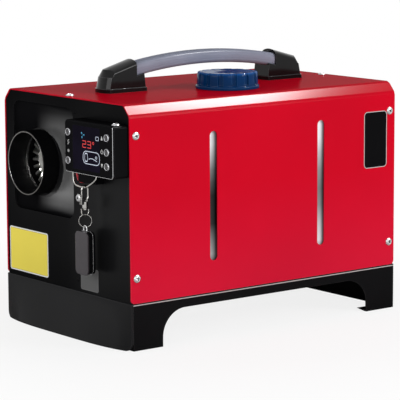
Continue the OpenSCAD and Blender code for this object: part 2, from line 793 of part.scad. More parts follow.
// Folded stand between the floor plate and the heater
module heater_stand() color(silver) placed() difference() {
    translate([duct_x, stand_y, 0]) {
        translate([-stand_half_w, 0, seat_z - stand_t]) cube([2 * stand_half_w, stand_l, stand_t]);
        for (s = [0, 1]) mirror([s, 0, 0]) {
            translate([stand_half_w - stand_t, 0, plate_top]) cube([stand_t, stand_l, seat_z - plate_top]);
            translate([stand_half_w - 16, 0, plate_top]) cube([16, stand_l, stand_t]);
        }
    }
    for (p = [[exhaust_y, exhaust_r], [air_stub_y, air_stub_r]])
        translate([duct_x, p[0], seat_z - stand_t - 1]) cylinder(r = p[1] + stub_room, h = stand_t + 2);
    translate([fuel_inlet_x, fuel_inlet_y, seat_z - stand_t - 1]) cylinder(r = 3 + slip, h = stand_t + 2);
    screw_holes(stand_seats);
}

module stub_pipe(y, r, wall) translate([duct_x, y, stub_low]) difference() {
    cylinder(r = r, h = seat_z - stub_low);
    translate([0, 0, -1]) cylinder(r = r - wall, h = seat_z - stub_low - 3);
}

module exhaust_pipe() color(silver) placed() stub_pipe(exhaust_y, exhaust_r, 1.2);

module combustion_air_pipe() color(dark) placed() stub_pipe(air_stub_y, air_stub_r, 2);

// Fuel system

module tank_body(inset) intersection() {
    w = tank_w - 2 * inset;
    l = tank_l - 2 * inset;
    z = tank_low + inset;
    h = tank_top - tank_low - 2 * inset;
    r = tank_r - inset;
    translate([0, 0, z]) linear_extrude(h)
        round_rect(tank_left + inset, tank_end_gap + inset, w, l, r);
    along_x(tank_left + inset, w) round_rect(tank_end_gap + inset, z, l, h, r);
    along_y(tank_end_gap + inset, l) round_rect(tank_left + inset, z, w, h, r);
}

module fuel_tank() color(white) placed() difference() {
    union() {
        tank_body(0);
        translate([neck_x, neck_y, tank_top - tank_wall]) cylinder(r = neck_r, h = neck_top - tank_top + tank_wall);
        translate([neck_x, neck_y, tank_top - tank_wall]) cylinder(r = neck_r + 6, h = tank_wall + 4);
        // Two ribs that the tank stands on
        for (x = [tank_left + 24, tank_right - 36]) translate([x, tank_end_gap + 20, plate_top])
            cube([12, tank_l - 40, tank_low - plate_top + 1]);
    }
    tank_body(tank_wall);
    translate([neck_x, neck_y, tank_top - 20]) cylinder(r = neck_r - neck_wall, h = neck_top);
    translate([tank_left - 1, outlet_y, outlet_z]) rotate([0, 90, 0]) cylinder(r = 3 + run, h = tank_wall + 2);
}

module neck_grommet() color(black) placed() translate([neck_x, neck_y, case_h - sheet_t]) rotate_extrude() {
    translate([neck_r + 0.1, -2]) square([grommet_r - neck_r - 0.2, sheet_t + 2 + grommet_lip]);
    translate([neck_r + 0.1, sheet_t]) square([grommet_r - neck_r + 3, grommet_lip]);
}

module fuel_cap() color(blue) placed() translate([neck_x, neck_y, cap_low]) difference() {
    rotate_extrude() polygon([[0, 0], [cap_r, 0], [cap_r, 2.6], [cap_r - 0.8, 3.4], [cap_top_r + 1, 5.2],
        [cap_top_r + 0.6, cap_h - 3], [cap_top_r - 0.6, cap_h - 1], [cap_top_r - 2.6, cap_h], [0, cap_h]]);
    translate([0, 0, -1]) cylinder(r = neck_r + slip, h = cap_h - cap_crown + 1);
    for (i = [0:flute_count - 1]) rotate([0, 0, 360 * i / flute_count])
        translate([cap_top_r + flute_r - 1, 0, 4.4]) cylinder(r = flute_r, h = cap_h);
}

module cap_gasket() color(black) placed() translate([neck_x, neck_y, gasket_top - gasket_t]) difference() {
    cylinder(r = neck_r, h = gasket_t);
    translate([0, 0, -1]) cylinder(r = neck_r - 5, h = gasket_t + 2);
}

module tank_outlet_fitting() color([0.75, 0.6, 0.3]) placed()
    translate([tank_left + tank_wall, outlet_y, outlet_z]) rotate([0, -90, 0]) {
        cylinder(r = 3, h = tank_wall + 2);
        translate([0, 0, tank_wall]) cylinder(r = 6, h = 4, $fn = 6);
        translate([0, 0, tank_wall + 3]) cylinder(r = nozzle_r, h = nozzle_l);
    }

outlet_tip = [tank_left - 3 - nozzle_l, outlet_y, outlet_z];

module fuel_filter() color(white) placed() translate([filter_x, filter_y, filter_z]) rotate([-90, 0, 0])
    rotate_extrude() polygon([[0, -nozzle_l], [nozzle_r, -nozzle_l], [nozzle_r, 0], [filter_r - filter_shoulder, 0],
        [filter_r, filter_cone_l], [filter_r, filter_l - filter_cone_l], [filter_r - filter_shoulder, filter_l],
        [nozzle_r, filter_l], [nozzle_r, filter_l + nozzle_l], [0, filter_l + nozzle_l]]);

module fuel_pump() color(silver) placed() translate([pump_x, pump_y, pump_z]) rotate([-90, 0, 0])
    rotate_extrude() polygon([[0, -nozzle_l], [nozzle_r, -nozzle_l], [nozzle_r, 0], [pump_head_r, 0],
        [pump_head_r, pump_head_l], [pump_r, pump_head_l], [pump_r, pump_l - pump_end_l],
        [pump_neck_r, pump_l - pump_end_l], [pump_neck_r, pump_l - pump_end_l / 3], [pump_neck_r * 0.7, pump_l],
        [nozzle_r, pump_l], [nozzle_r, pump_l + nozzle_l], [0, pump_l + nozzle_l]]);

// One bracket with a ring for the pump and a ring for the filter
module fuel_bracket() color(dark) placed() difference() {
    union() {
        for (p = [[pump_x, pump_z, pump_r], [filter_x, filter_z, filter_r]]) {
            translate([p[0], bracket_y, p[1]]) rotate([-90, 0, 0]) cylinder(r = p[2] + 3, h = bracket_l);
            translate([p[0] - 3, bracket_y, plate_top]) cube([6, bracket_l, p[1] - plate_top]);
        }
        translate([pump_x - 12, bracket_y, plate_top]) cube([filter_x - pump_x + 24, bracket_l, stand_t]);
    }
    for (p = [[pump_x, pump_z, pump_r], [filter_x, filter_z, filter_r]])
        translate([p[0], bracket_y - 1, p[1]]) rotate([-90, 0, 0]) cylinder(r = p[2] + run, h = bracket_l + 2);
    screw_holes(bracket_seats);
}

// Routes of the fuel lines: tank to filter, filter to pump, pump to heater
fuel_inlet_low = seat_z - 12;
filter_front = filter_y - nozzle_l;
filter_rear = filter_y + filter_l + nozzle_l;
pump_front = pump_y - nozzle_l;
pump_rear = pump_y + pump_l + nozzle_l;
tank_line = [outlet_tip, outlet_tip + [-6, 0, 0], [filter_x + 4, outlet_y + 4, (outlet_z + filter_z) / 2],
    [filter_x, filter_front - 7, filter_z], [filter_x, filter_front, filter_z]];
pump_line = [[filter_x, filter_rear, filter_z], [filter_x, filter_rear + 14, filter_z],
    [(filter_x + pump_x) / 2, pump_rear + 16, (filter_z + pump_z) / 2],
    [pump_x, pump_rear + 8, pump_z], [pump_x, pump_rear, pump_z]];
heater_line = [[pump_x, pump_front, pump_z], [pump_x, pump_front - 14, pump_z],
    [fuel_inlet_x - 8, fuel_inlet_y + 60, pump_z + 2], [fuel_inlet_x, fuel_inlet_y + 20, pump_z + 4],
    [fuel_inlet_x, fuel_inlet_y, fuel_inlet_low - 10], [fuel_inlet_x, fuel_inlet_y, fuel_inlet_low]];
line_r = 2.5;

module fuel_lines() color(dark) placed() {
    tube(curve(tank_line, 4), line_r);
    tube(curve(pump_line, 5), line_r);
    tube(curve(heater_line, 6), line_r);
    // Fitting under the heater's foot
    translate([fuel_inlet_x, fuel_inlet_y, fuel_inlet_low - eps]) cylinder(r = 3, h = seat_z - fuel_inlet_low + eps);
}

// Wiring

loom_y = motor_y + 12;
loom_r = 3;
channel_x = (duct_x + heater_r + tank_left) / 2;
gland_y = case_l - panel_back - 6;
loom_line = [[duct_x, loom_y, duct_z + 44], [duct_x, loom_y, duct_z + 58], [duct_x + 16, loom_y + 2, duct_z + 69],
    [duct_x + 42, loom_y + 6, duct_z + 64], [channel_x - 1, loom_y + 8, duct_z + 42], [channel_x, loom_y + 8, duct_z],
    [channel_x, loom_y + 10, duct_z - 36], [channel_x - 3, loom_y + 20, duct_z - 70],
    [gland_x + 4, gland_y - 32, gland_z + 14], [gland_x, gland_y - 12, gland_z], [gland_x, gland_y, gland_z]];

module wiring_loom() color(black) placed() tube(curve(loom_line, 5), loom_r);

module cable_gland() color(black) placed() translate([gland_x, gland_y, gland_z]) rotate([-90, 0, 0]) difference() {
    union() {
        cylinder(r = 7.8, h = panel_back + 8);
        cylinder(r = 10, h = 5.8);
        translate([0, 0, 6 + sheet_t]) cylinder(r = 11, h = 5, $fn = 6);
        translate([0, 0, 6 + sheet_t]) cylinder(r = 8, h = gland_reach + panel_inset);
    }
    translate([0, 0, 4]) cylinder(r = 4, h = 40);
}

// Controller

module controller_housing() color(black) placed() difference() {
    union() {
        difference() {
            along_y(face_back, panel_inset - face_back)
                round_rect(ctrl_left, ctrl_low, ctrl_w, ctrl_h, ctrl_r);
            along_y(face_back - 1, panel_inset - face_back - 1)
                round_rect(ctrl_left + ctrl_wall, ctrl_low + ctrl_wall, ctrl_w - 2 * ctrl_wall,
                    ctrl_h - 2 * ctrl_wall, ctrl_r - 1);
        }
        // Posts for the board, boss for the screw and socket for the lead
        for (x = [ctrl_left + 6, ctrl_right - 6], z = [ctrl_low + 6, ctrl_high - 6])
            along_y(board_front + board_t, panel_inset - board_front - board_t)
                translate([x, z]) circle(3);
        translate([ctrl_screw_x - 4.5, ctrl_screw_y - 5, ctrl_high - short_thread - 1]) cube([9, 14, short_thread]);
        translate([socket_left, socket_front, ctrl_low - socket_h])
            cube([socket_w, panel_inset - socket_front, socket_h + ctrl_wall]);
    }
    screw_holes(ctrl_seats);
    for (x = bail_ends) translate([x, chain_y, ctrl_low - 1]) cylinder(r = bail_r + run, h = ctrl_wall + 2);
    translate([lead_x, lead_start_y, ctrl_low - 1]) cylinder(r = lead_r + run, h = ctrl_wall + 2);
}

key_places = [[key_column_right, key_high], [key_column_right, key_mid], [key_column_right, key_bottom],
    [key_column_left, key_high], [key_column_left, key_bottom]];

module controller_face() color(black) placed() difference() {
    hull() {
        along_y(face_back - face_t / 2, face_t / 2) round_rect(ctrl_left, ctrl_low, ctrl_w, ctrl_h, ctrl_r);
        along_y(-ctrl_depth, face_t) round_rect(ctrl_left + 1.2, ctrl_low + 1.2, ctrl_w - 2.4, ctrl_h - 2.4, ctrl_r - 1);
    }
    // Shallow window over the display
    along_y(-ctrl_depth - 1, 1.4) translate([window_left, ctrl_low + 5]) square([window_w, ctrl_h - 10]);
    for (p = key_places) translate([p[0], -ctrl_depth - 1, p[1]]) rotate([-90, 0, 0]) cylinder(r = key_r + slip, h = face_t + 2);
}

module controller_board() color([0.05, 0.25, 0.12]) placed()
    translate([ctrl_left + 3, board_front, ctrl_low + 3]) cube([ctrl_w - 6, board_t, ctrl_h - 6 - short_thread]);

// A domed key with a flange behind the face
module key(i) color(silver) placed() translate([key_places[i][0], -ctrl_depth - key_proud, key_places[i][1]])
    rotate([-90, 0, 0]) rotate_extrude() polygon(concat(
        [for (k = [0:6]) [key_r * sin(90 * k / 6), key_proud * (1 - cos(90 * k / 6))]],
        [[key_r, key_proud + face_t + slip], [key_r + key_lip, key_proud + face_t + slip],
            [key_r + key_lip, key_proud + face_t + slip + key_flange_t], [2, key_proud + face_t + slip + key_flange_t],
            [2, key_proud + face_t + 6 - key_travel - 0.2], [0, key_proud + face_t + 6 - key_travel - 0.2]]));

module key_up() key(0);
module key_power() key(1);
module key_down() key(2);
module key_mode() key(3);
module key_settings() key(4);

// Lead from the controller, through the front panel and along the tank to the loom
lead_start_y = -8;
lead_line = [[lead_x, lead_start_y, ctrl_low + 1], [lead_x, lead_start_y, ctrl_low - 5],
    [lead_x, -5, lead_z + 2], [lead_x, panel_inset, lead_z], [lead_x, panel_back + 5, lead_z],
    [lead_x - 3, panel_back + 11, lead_z - 14], [lead_x - 8, panel_back + 13, recess_low],
    [lead_x - 20, panel_back + 13, recess_low - 18], [channel_x + 16, panel_back + 12, recess_low - 18],
    [channel_x, tank_end_gap + 4, recess_low - 6], [channel_x, tank_end_gap + 40, recess_low],
    [channel_x, loom_y - 40, recess_low], [channel_x, loom_y - 12, recess_low + 10],
    [channel_x, loom_y + 4, recess_low + 16]];

module controller_lead() color([0.75, 0.05, 0.08]) placed() tube(curve(lead_line, 4), lead_r);

// Chain that holds the remote

bail_ends = [ctrl_left + 2.9, ctrl_left + 50];
bail_bend = 8;
bail_points = concat([[bail_ends[0], chain_y, ctrl_low + 1], [bail_ends[0], chain_y, ctrl_low - 5]],
    [for (a = [-24:8:24]) [chain_x + bail_bend * sin(a), chain_y, chain_top + bail_bend * (1 - cos(a))]],
    [[bail_ends[1], chain_y, ctrl_low - 5], [bail_ends[1], chain_y, ctrl_low + 1]]);

module lanyard_bail() color(silver) placed() tube(bail_points, bail_r);

// Hook of the clasp, in the plane of Y and Z, with the lever closing its front side
hook_line = concat([for (a = [180:-20:0]) [0, hook_r * cos(a), hook_z + hook_r * sin(a)]],
    [[0, hook_r, lever_z], [0, 2.4, clasp_neck + 1], [0, 1.4, clasp_neck - 1]]);

module clasp_body() color(silver) placed() translate([chain_x, chain_y, 0]) difference() {
    union() {
        tube(hook_line, hook_wire);
        translate([0, 0, clasp_low]) cylinder(r = 3.2, h = clasp_neck - clasp_low);
        // Cheeks with the pin of the lever
        for (x = [-1.9, 0.9]) translate([x, -hook_r - 1.5, clasp_neck - 3]) cube([1, 5, lever_z - clasp_neck + 3]);
        translate([-1.4, -hook_r, lever_z - 1.5]) rotate([0, 90, 0]) cylinder(r = 0.7, h = 2.8);
    }
    translate([0, 0, clasp_low - 1]) cylinder(r = 1.6 + run, h = 6);
}

module clasp_lever() color(silver) placed() translate([chain_x, chain_y - hook_r, lever_z - 1.5]) difference() {
    union() {
        translate([-0.75, 0, 0]) rotate([0, 90, 0]) cylinder(r = 1.4, h = 1.5);
        rod([0, 0, 0.8], [0, 0, hook_z - lever_z + 1.2], 0.75);
        rod([0, 0, 3], [0, -2.6, 4.4], 0.7);
        translate([0, -2.6, 4.4]) sphere(1.2);
    }
    translate([-2, 0, 0]) rotate([0, 90, 0]) cylinder(r = 0.7 + run, h = 4);
}

module swivel_eye() color(silver) placed() translate([chain_x, chain_y, 0]) {
    translate([0, 0, collar_z - 0.1]) cylinder(r = 1.6, h = 5);
    translate([0, 0, collar_z - 2]) cylinder(r = 2.6, h = 2);
    rod([0, -eye_r, eye_bottom + eye_r], [0, -eye_r, collar_z - 1], eye_wire);
    rod([0, eye_r, eye_bottom + eye_r], [0, eye_r, collar_z - 1], eye_wire);
    rod([0, -eye_r - eye_wire, collar_z - 1], [0, eye_r + eye_wire, collar_z - 1], eye_wire);
    translate([0, 0, eye_bottom + eye_r]) rotate([0, 0, 90]) rotate([-90, 0, 0])
        rotate_extrude(angle = 180) translate([eye_r, 0]) circle(eye_wire);
}

module split_ring() color(silver) placed() translate([chain_x, chain_y, ring_z])
    rotate([0, 0, ring_turn]) rotate([90, 0, 0]) rotate_extrude() translate([ring_mid_r, 0]) circle(ring_wire);

module remote_outline(inset) round_rect(chain_x - remote_w / 2 + inset, remote_low + inset,
    remote_w - 2 * inset, remote_h - 2 * inset, remote_r - inset);

remote_keys = [[chain_x, remote_top - 12], [chain_x, remote_top - 24]];

module remote_case() color(black) placed() difference() {
    union() {
        along_y(remote_face, chain_y + 1.5 - remote_face) remote_outline(0.4);
        along_y(chain_y + 2.7, remote_t / 2 - 3.7) remote_outline(0.4);
        along_y(chain_y + 1.4, remote_t / 2 - 1.4) remote_outline(1.6);
    }
    for (p = remote_keys) along_y(remote_face - 1, 4) translate(p) circle(remote_key_r + slip);
    // Two grooves that guide the cover, open at the lower end
    for (x = runner_xs) translate([chain_x + x - runner_w / 2 - 0.1, remote_face - 1, remote_low - 1])
        cube([runner_w + 0.2, runner_t + 1.3, remote_h - remote_r]);
}

// Bright frame round the remote, with the ear that hangs in the ring
module remote_frame() color(silver) placed() {
    along_y(chain_y + 1.5, 1.2) difference() {
        remote_outline(0);
        remote_outline(1.6);
    }
    translate([chain_x, chain_y + 1.5, 0]) {
        translate([0, -1.5, ear_top - ear_r]) rotate([90, 0, 0])
            rotate_extrude(angle = 180) translate([ear_r, 0]) circle(ear_wire);
        for (x = [-ear_r, ear_r]) rod([x, -1.5, ear_top - ear_r], [x, -1.5, remote_top + 0.2], ear_wire);
        translate([-ear_r - ear_wire, -2.6, remote_top - 0.2]) cube([2 * ear_r + 2 * ear_wire, 3.8, 1]);
    }
}

module remote_cover() color(dark) placed() {
    along_y(remote_front, cover_t) remote_outline(0);
    for (x = runner_xs) translate([chain_x + x - runner_w / 2, remote_front + cover_t - eps, remote_low + remote_r])
        cube([runner_w, slip + runner_t + eps, remote_h - 2 * remote_r - 2]);
}

module remote_key(i) color(dark) placed() along_y(remote_face, 2.4) translate(remote_keys[i]) circle(remote_key_r);

module remote_key_on() remote_key(0);
module remote_key_off() remote_key(1);

// Handle

// Arched section of a handle foot, standing across the case at y, with its top at z
module foot_section(y, z, w) translate([0, y, 0]) rotate([90, 0, 0]) linear_extrude(0.1) {
    translate([-w / 2, case_h]) square([w, z - case_h - w * 0.24]);
    translate([0, z - w * 0.24]) intersection() {
        scale([1, 0.48]) circle(w / 2, $fn = 32);
        translate([-w, -0.1]) square([2 * w, w]);
    }
}

module grip_shape(w, t, grow) translate([0, case_l / 2, grip_mid - grip_arc_r]) rotate([90, 0, 90])
    rotate([0, 0, 90 - grip_angle]) rotate_extrude(angle = 2 * grip_angle, $fn = 360)
        translate([grip_arc_r, 0]) grip_section(w, t, grow);

module grip_section(w, t, grow) round_rect(-t / 2 - grow, -w / 2 - grow, t + 2 * grow, w + 2 * grow, min(t, w) * 0.4);

// Outline of a foot seen from above, with its front bowed, from y to the end
foot_bow = 4.5;

module foot_plan(y, end, w) {
    r = (w * w / 4 + foot_bow * foot_bow) / (2 * foot_bow);
    translate([-w / 2, y + foot_bow]) square([w, end - y - foot_bow]);
    intersection() {
        translate([-w / 2, y]) square([w, 2 * foot_bow]);
        translate([0, y + r]) circle(r);
    }
}

foot_plate_t = 4.5;
foot_side_w = handle_w - 4;
block_h = 21;
crest_h = 27;
hood_h = 37.5;

module handle_foot() difference() {
    union() {
        translate([0, 0, case_h]) linear_extrude(foot_plate_t) foot_plan(handle_from_end, mouth_y, handle_w);
        // Block under the grip, with a sloping front
        intersection() {
            hull() {
                translate([0, 0, case_h + 1]) linear_extrude(foot_plate_t)
                    foot_plan(handle_from_end + 0.5, mouth_y - 0.5, foot_side_w);
                translate([0, 0, case_h + block_h]) linear_extrude(1)
                    foot_plan(handle_from_end + 4, mouth_y - 2.5, foot_side_w);
            }
            along_x(-handle_w, 2 * handle_w) polygon([[handle_from_end, case_h], [mouth_y, case_h],
                [mouth_y, case_h + block_h + 0.5], [hood_end, case_h + block_h - 3], [handle_from_end, case_h + block_h - 3]]);
        }
        // Hood over the end of the grip
        hull() {
            translate([0, 0, case_h + block_h - 5]) linear_extrude(1)
                foot_plan(handle_from_end + 3.2, hood_end, foot_side_w);
            translate([0, 0, case_h + crest_h - 1]) linear_extrude(1)
                foot_plan(handle_from_end + 6, hood_end, foot_side_w / 2);
            foot_section(handle_from_end + 12, case_h + crest_h + 1.5, foot_side_w);
            foot_section(hood_end, case_h + hood_h, foot_side_w);
        }
    }
    grip_shape(grip_w, grip_t, slip);
    screw_holes(handle_seats);
}

module handle_foot_front() color(black) placed() handle_foot();

module handle_foot_rear() color(black) placed() translate([0, case_l, 0]) mirror([0, 1, 0]) handle_foot();

module handle_grip() color([0.6, 0.62, 0.66]) placed() difference() {
    grip_shape(grip_w, grip_t, 0);
    grip_shape(core_w, core_t, run);
}

module handle_core() color(silver) placed() grip_shape(core_w, core_t, 0);

outer_cover();
front_panel();
rear_panel();
outlet_recess_pan();
floor_plate();
front_apron();
base_skirt();
pan_screws();
outlet_duct();
handle_foot_front();
handle_foot_rear();
handle_grip();
handle_core();
fuel_tank();
neck_grommet();
fuel_cap();
cap_gasket();
tank_outlet_fitting();
fuel_filter();
fuel_pump();
fuel_bracket();
fuel_lines();
heater_upper_shell();
heater_lower_shell();
heat_exchanger();
burner_tube();
glow_plug();
combustion_housing();
combustion_wheel();
fan_motor();
motor_shaft();
fan_wheel();
inlet_ring();
intake_guard();
control_board();
heater_stand();
exhaust_pipe();
combustion_air_pipe();
wiring_loom();
cable_gland();
controller_housing();
controller_face();
controller_board();
key_up();
key_power();
key_down();
key_mode();
key_settings();
controller_lead();
lanyard_bail();
clasp_body();
clasp_lever();
swivel_eye();
split_ring();
remote_case();
remote_frame();
remote_cover();
remote_key_on();
remote_key_off();
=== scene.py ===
# %% [markdown]
# # A portable diesel air heater
# The solids of the heater come from its engineering model, and this lesson dresses them: camera and
# light first, then finishes, then the pieces whose shape needs more than a solid gives. Lengths are
# in metres. The heater stands on the floor at z = 0 with its front towards -Y.

# %% Load the engineering model
import json
import math

import bmesh
import bpy
from mathutils import Matrix, Vector


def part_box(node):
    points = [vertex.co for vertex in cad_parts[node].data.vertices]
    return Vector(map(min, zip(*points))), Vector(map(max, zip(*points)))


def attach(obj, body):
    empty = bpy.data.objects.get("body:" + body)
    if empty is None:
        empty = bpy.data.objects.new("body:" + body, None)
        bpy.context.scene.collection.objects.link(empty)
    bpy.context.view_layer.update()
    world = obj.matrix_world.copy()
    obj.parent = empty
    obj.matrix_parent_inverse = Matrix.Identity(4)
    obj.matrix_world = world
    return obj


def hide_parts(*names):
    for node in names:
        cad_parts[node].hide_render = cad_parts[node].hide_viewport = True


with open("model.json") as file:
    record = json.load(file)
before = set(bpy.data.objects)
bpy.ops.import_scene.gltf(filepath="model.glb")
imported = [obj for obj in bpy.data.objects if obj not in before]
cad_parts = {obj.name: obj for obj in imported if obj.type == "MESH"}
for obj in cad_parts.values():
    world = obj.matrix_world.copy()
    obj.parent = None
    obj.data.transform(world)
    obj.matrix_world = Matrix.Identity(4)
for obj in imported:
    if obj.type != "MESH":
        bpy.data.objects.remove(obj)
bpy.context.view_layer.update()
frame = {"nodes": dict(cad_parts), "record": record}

nodes = frame["nodes"]
MM = 0.001
print("loaded", len(nodes), "solids")

# %% [markdown]
# ## Where things are
# The model's origin lies under the middle of the whole heater, but a maker measures from the front
# edge of the sheet-metal cover. `spot` turns such a measure in millimetres into a place in the scene,
# and `measure` gives a solid's low corner, its middle and its size in millimetres.

# %% Measure from the front edge of the cover
def measure(node):
    low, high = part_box(node)
    return low, (low + high) / 2, [(b - a) / MM for a, b in zip(low, high)]


cover_low, _, (CASE_W, CASE_L, cover_h) = measure("outer_cover")
FRONT = cover_low.y
BASE_H = cover_low.z / MM
CASE_H = BASE_H + cover_h
DUCT_X, DUCT_Z = -68.7, 195.3


def spot(x, y, z):
    return Vector((x * MM, FRONT + y * MM, z * MM))


print("cover", round(CASE_W, 1), "x", round(CASE_L, 1), "x", round(CASE_H, 1), "mm")

# %% [markdown]
# Helpers take up what repeats. `put` places data in the scene and `mesh_of` turns a finished bmesh
# into a mesh. In a node tree, `add` makes a node and feeds its inputs with plain values or with the
# outputs of other nodes, and the helpers after it make one kind of node each and return its result.

# %% Helpers for meshes and node trees
def put(name, data):
    obj = bpy.data.objects.new(name, data)
    bpy.context.scene.collection.objects.link(obj)
    return obj


def mesh_of(bm, name, turn_out=True):
    if turn_out:
        bmesh.ops.recalc_face_normals(bm, faces=bm.faces)
    mesh = bpy.data.meshes.new(name)
    bm.to_mesh(mesh)
    bm.free()
    return mesh


def feed(tree, node, feeds):
    for key, value in feeds.items():
        if isinstance(value, bpy.types.NodeSocket):
            tree.links.new(value, node.inputs[key])
        else:
            node.inputs[key].default_value = value


def add(tree, kind, feeds=None, **settings):
    made = tree.nodes.new(kind)
    for key, value in settings.items():
        setattr(made, key, value)
    feed(tree, made, feeds or {})
    return made


def num(tree, operation, *values):
    return add(tree, "ShaderNodeMath", dict(enumerate(values)), operation=operation).outputs[0]


def vec(tree, operation, *values):
    made = add(tree, "ShaderNodeVectorMath", dict(enumerate(values)), operation=operation)
    return made.outputs["Value" if operation in ("LENGTH", "DOT_PRODUCT") else "Vector"]


def span(tree, value, start, end, low=0.0, high=1.0, **settings):
    feeds = {"Value": value, "From Min": start, "From Max": end, "To Min": low, "To Max": high}
    return add(tree, "ShaderNodeMapRange", feeds, **settings).outputs["Result"]


def mixed(tree, factor, a, b, blend="MIX"):
    return add(tree, "ShaderNodeMix", {"Factor": factor, "A": a, "B": b},
               data_type="RGBA", blend_type=blend).outputs["Result"]


def mixed_shader(tree, factor, a, b):
    return add(tree, "ShaderNodeMixShader", {0: factor, 1: a, 2: b}).outputs[0]


print("helpers ready")

# %% [markdown]
# ## Camera
# The picture was taken from far away with a long lens, so the edges of the case run almost parallel.
# The camera's place and turn come from the corners of the case, whose sizes are known.

# %% Set the camera
camera_data = bpy.data.cameras.new("camera")
camera_data.lens = 199.34
camera_data.sensor_width = 36.0
camera_data.clip_end = 30.0
camera = put("camera", camera_data)
look = Vector((-0.78120634, 0.60483896, -0.15455254)).normalized()
roll = math.radians(-0.282)
level_right = look.cross(Vector((0, 0, 1))).normalized()
level_up = level_right.cross(look)
right = level_right * math.cos(roll) + level_up * math.sin(roll)
up = level_up * math.cos(roll) - level_right * math.sin(roll)
turn = Matrix((right, up, -look)).transposed().to_4x4()
camera.matrix_world = Matrix.Translation(Vector((2.1082, -1.62925, 0.5559))) @ turn
bpy.context.scene.camera = camera
print("camera", [round(v, 3) for v in camera.location])

# %% [markdown]
# ## Light
# A product picture on white: one big soft light from the right, which also throws the shadow of each
# slot's edge on the tank, where the tank's finish paints that shadow as well, and weaker ones for the
# front and the side. Two small ones only make glints, on the cover's edge and in the outlet, because
# they are hidden from the matt part of every finish.
# Light Path lets the camera and the reflections see white, while the room lights at a plain level.

# %% Build the room and its lamps
WHITE = (1.0, 1.0, 1.0, 1.0)
world = bpy.data.worlds.new("pale room")
bpy.context.scene.world = world
world.use_nodes = True
sky = world.node_tree
room_light = sky.nodes["Background"]
feed(sky, room_light, {"Color": WHITE, "Strength": 0.38})
seen = add(sky, "ShaderNodeBackground", {"Color": WHITE, "Strength": 1.0})
rays = add(sky, "ShaderNodeLightPath").outputs
sees_white = rays["Is Camera Ray"]
for kind in ("Is Transmission Ray", "Is Glossy Ray"):
    sees_white = num(sky, "MAXIMUM", sees_white, rays[kind])
background = mixed_shader(sky, sees_white, room_light.outputs[0], seen.outputs[0])
sky.links.new(background, sky.nodes["World Output"].inputs["Surface"])


def softbox(name, place, target, size, watts):
    lamp = bpy.data.lights.new(name, "AREA")
    lamp.shape = "RECTANGLE"
    lamp.size, lamp.size_y = size
    lamp.energy = watts
    obj = put(name, lamp)
    obj.location = place
    obj.rotation_euler = (Vector(target) - Vector(place)).to_track_quat("-Z", "Y").to_euler()
    return obj


middle = (0.0, 0.0, 0.15)
softbox("key light", (1.9, 1.05, 1.0), middle, (0.9, 0.9), 24)
softbox("front light", (0.3, -2.2, 0.9), middle, (1.4, 0.9), 13)
softbox("side light", (2.1, -0.9, 0.7), middle, (1.0, 0.8), 7)
edge_light = softbox("glint light", (0.4, 0.9, 1.5), (0.11, -0.12, 0.27), (0.2, 0.3), 72)
duct_light = softbox("duct light", (-0.5, -1.15, 0.3), (-0.0687, -0.15, 0.195), (0.06, 0.06), 0.22)
edge_light.visible_diffuse = duct_light.visible_diffuse = False
duct_light.data.spread = math.radians(7)
bpy.context.scene.view_settings.view_transform = "Standard"

# %% [markdown]
# ## Floor
# A plain pale floor carries the heater's soft shadow. The camera sees it lifted towards white, which
# keeps the shadow but makes it light, and further out it fades to white, so that no horizon shows.

# %% Lay the floor
FLOOR_LIFT, FADE_START, FADE_END = 0.84, 0.28, 0.62
bm = bmesh.new()
bmesh.ops.create_grid(bm, x_segments=1, y_segments=1, size=12.0)
floor = put("floor", mesh_of(bm, "floor", turn_out=False))
floor_mat = bpy.data.materials.new("pale floor")
floor_mat.use_nodes = True
ft = floor_mat.node_tree
floor_shader = ft.nodes["Principled BSDF"]
feed(ft, floor_shader, {
    "Base Color": (0.88, 0.88, 0.88, 1), "Roughness": 0.6, "Specular IOR Level": 0.2})
far = add(ft, "ShaderNodeEmission", {"Color": WHITE, "Strength": 1.0}).outputs[0]
lift = num(ft, "MULTIPLY", add(ft, "ShaderNodeLightPath").outputs["Is Camera Ray"], FLOOR_LIFT)
lifted = mixed_shader(ft, lift, floor_shader.outputs[0], far)
distance = vec(ft, "LENGTH", add(ft, "ShaderNodeTexCoord").outputs["Object"])
faded = mixed_shader(ft, span(ft, distance, FADE_START, FADE_END), lifted, far)
ft.links.new(faded, ft.nodes["Material Output"].inputs["Surface"])
floor.data.materials.append(floor_mat)
print("floor laid")

# %% [markdown]
# ## Finishes
# Every finish starts from the same three layers: an even base colour with a slow drift of tone, a
# roughness that changes a little from place to place, and a fine relief for the paint's orange peel,
# the grain of a moulded part or the skin of a casting. The values that are the same all over stand
# on the shader itself. A finish with a coat gets all its gloss from the coat.
#
# Paint is thinnest on an edge and wears there. The edge colour also stands in for the light that a
# rounded edge catches, so it is partly wear and partly a painted highlight. The Bevel node gives a
# normal that is rounded near edges; where it departs from the face's own normal, the colour goes to the
# edge colour.

# %% Make the helper that builds a finish
finishes = {}


def noise(tree, scale, detail, coord, stretch):
    mapping = add(tree, "ShaderNodeMapping", {"Vector": coord, "Scale": stretch})
    return add(tree, "ShaderNodeTexNoise", {"Vector": mapping.outputs["Vector"], "Scale": scale,
                                            "Detail": detail}).outputs["Fac"]


def edge_wear_and_highlight(tree, rounded_normal, colour, edge_colour):
    face_normal = add(tree, "ShaderNodeNewGeometry").outputs["Normal"]
    amount = span(tree, vec(tree, "DOT_PRODUCT", rounded_normal, face_normal), 0.995, 0.85)
    return mixed(tree, amount, colour, (*edge_colour, 1))


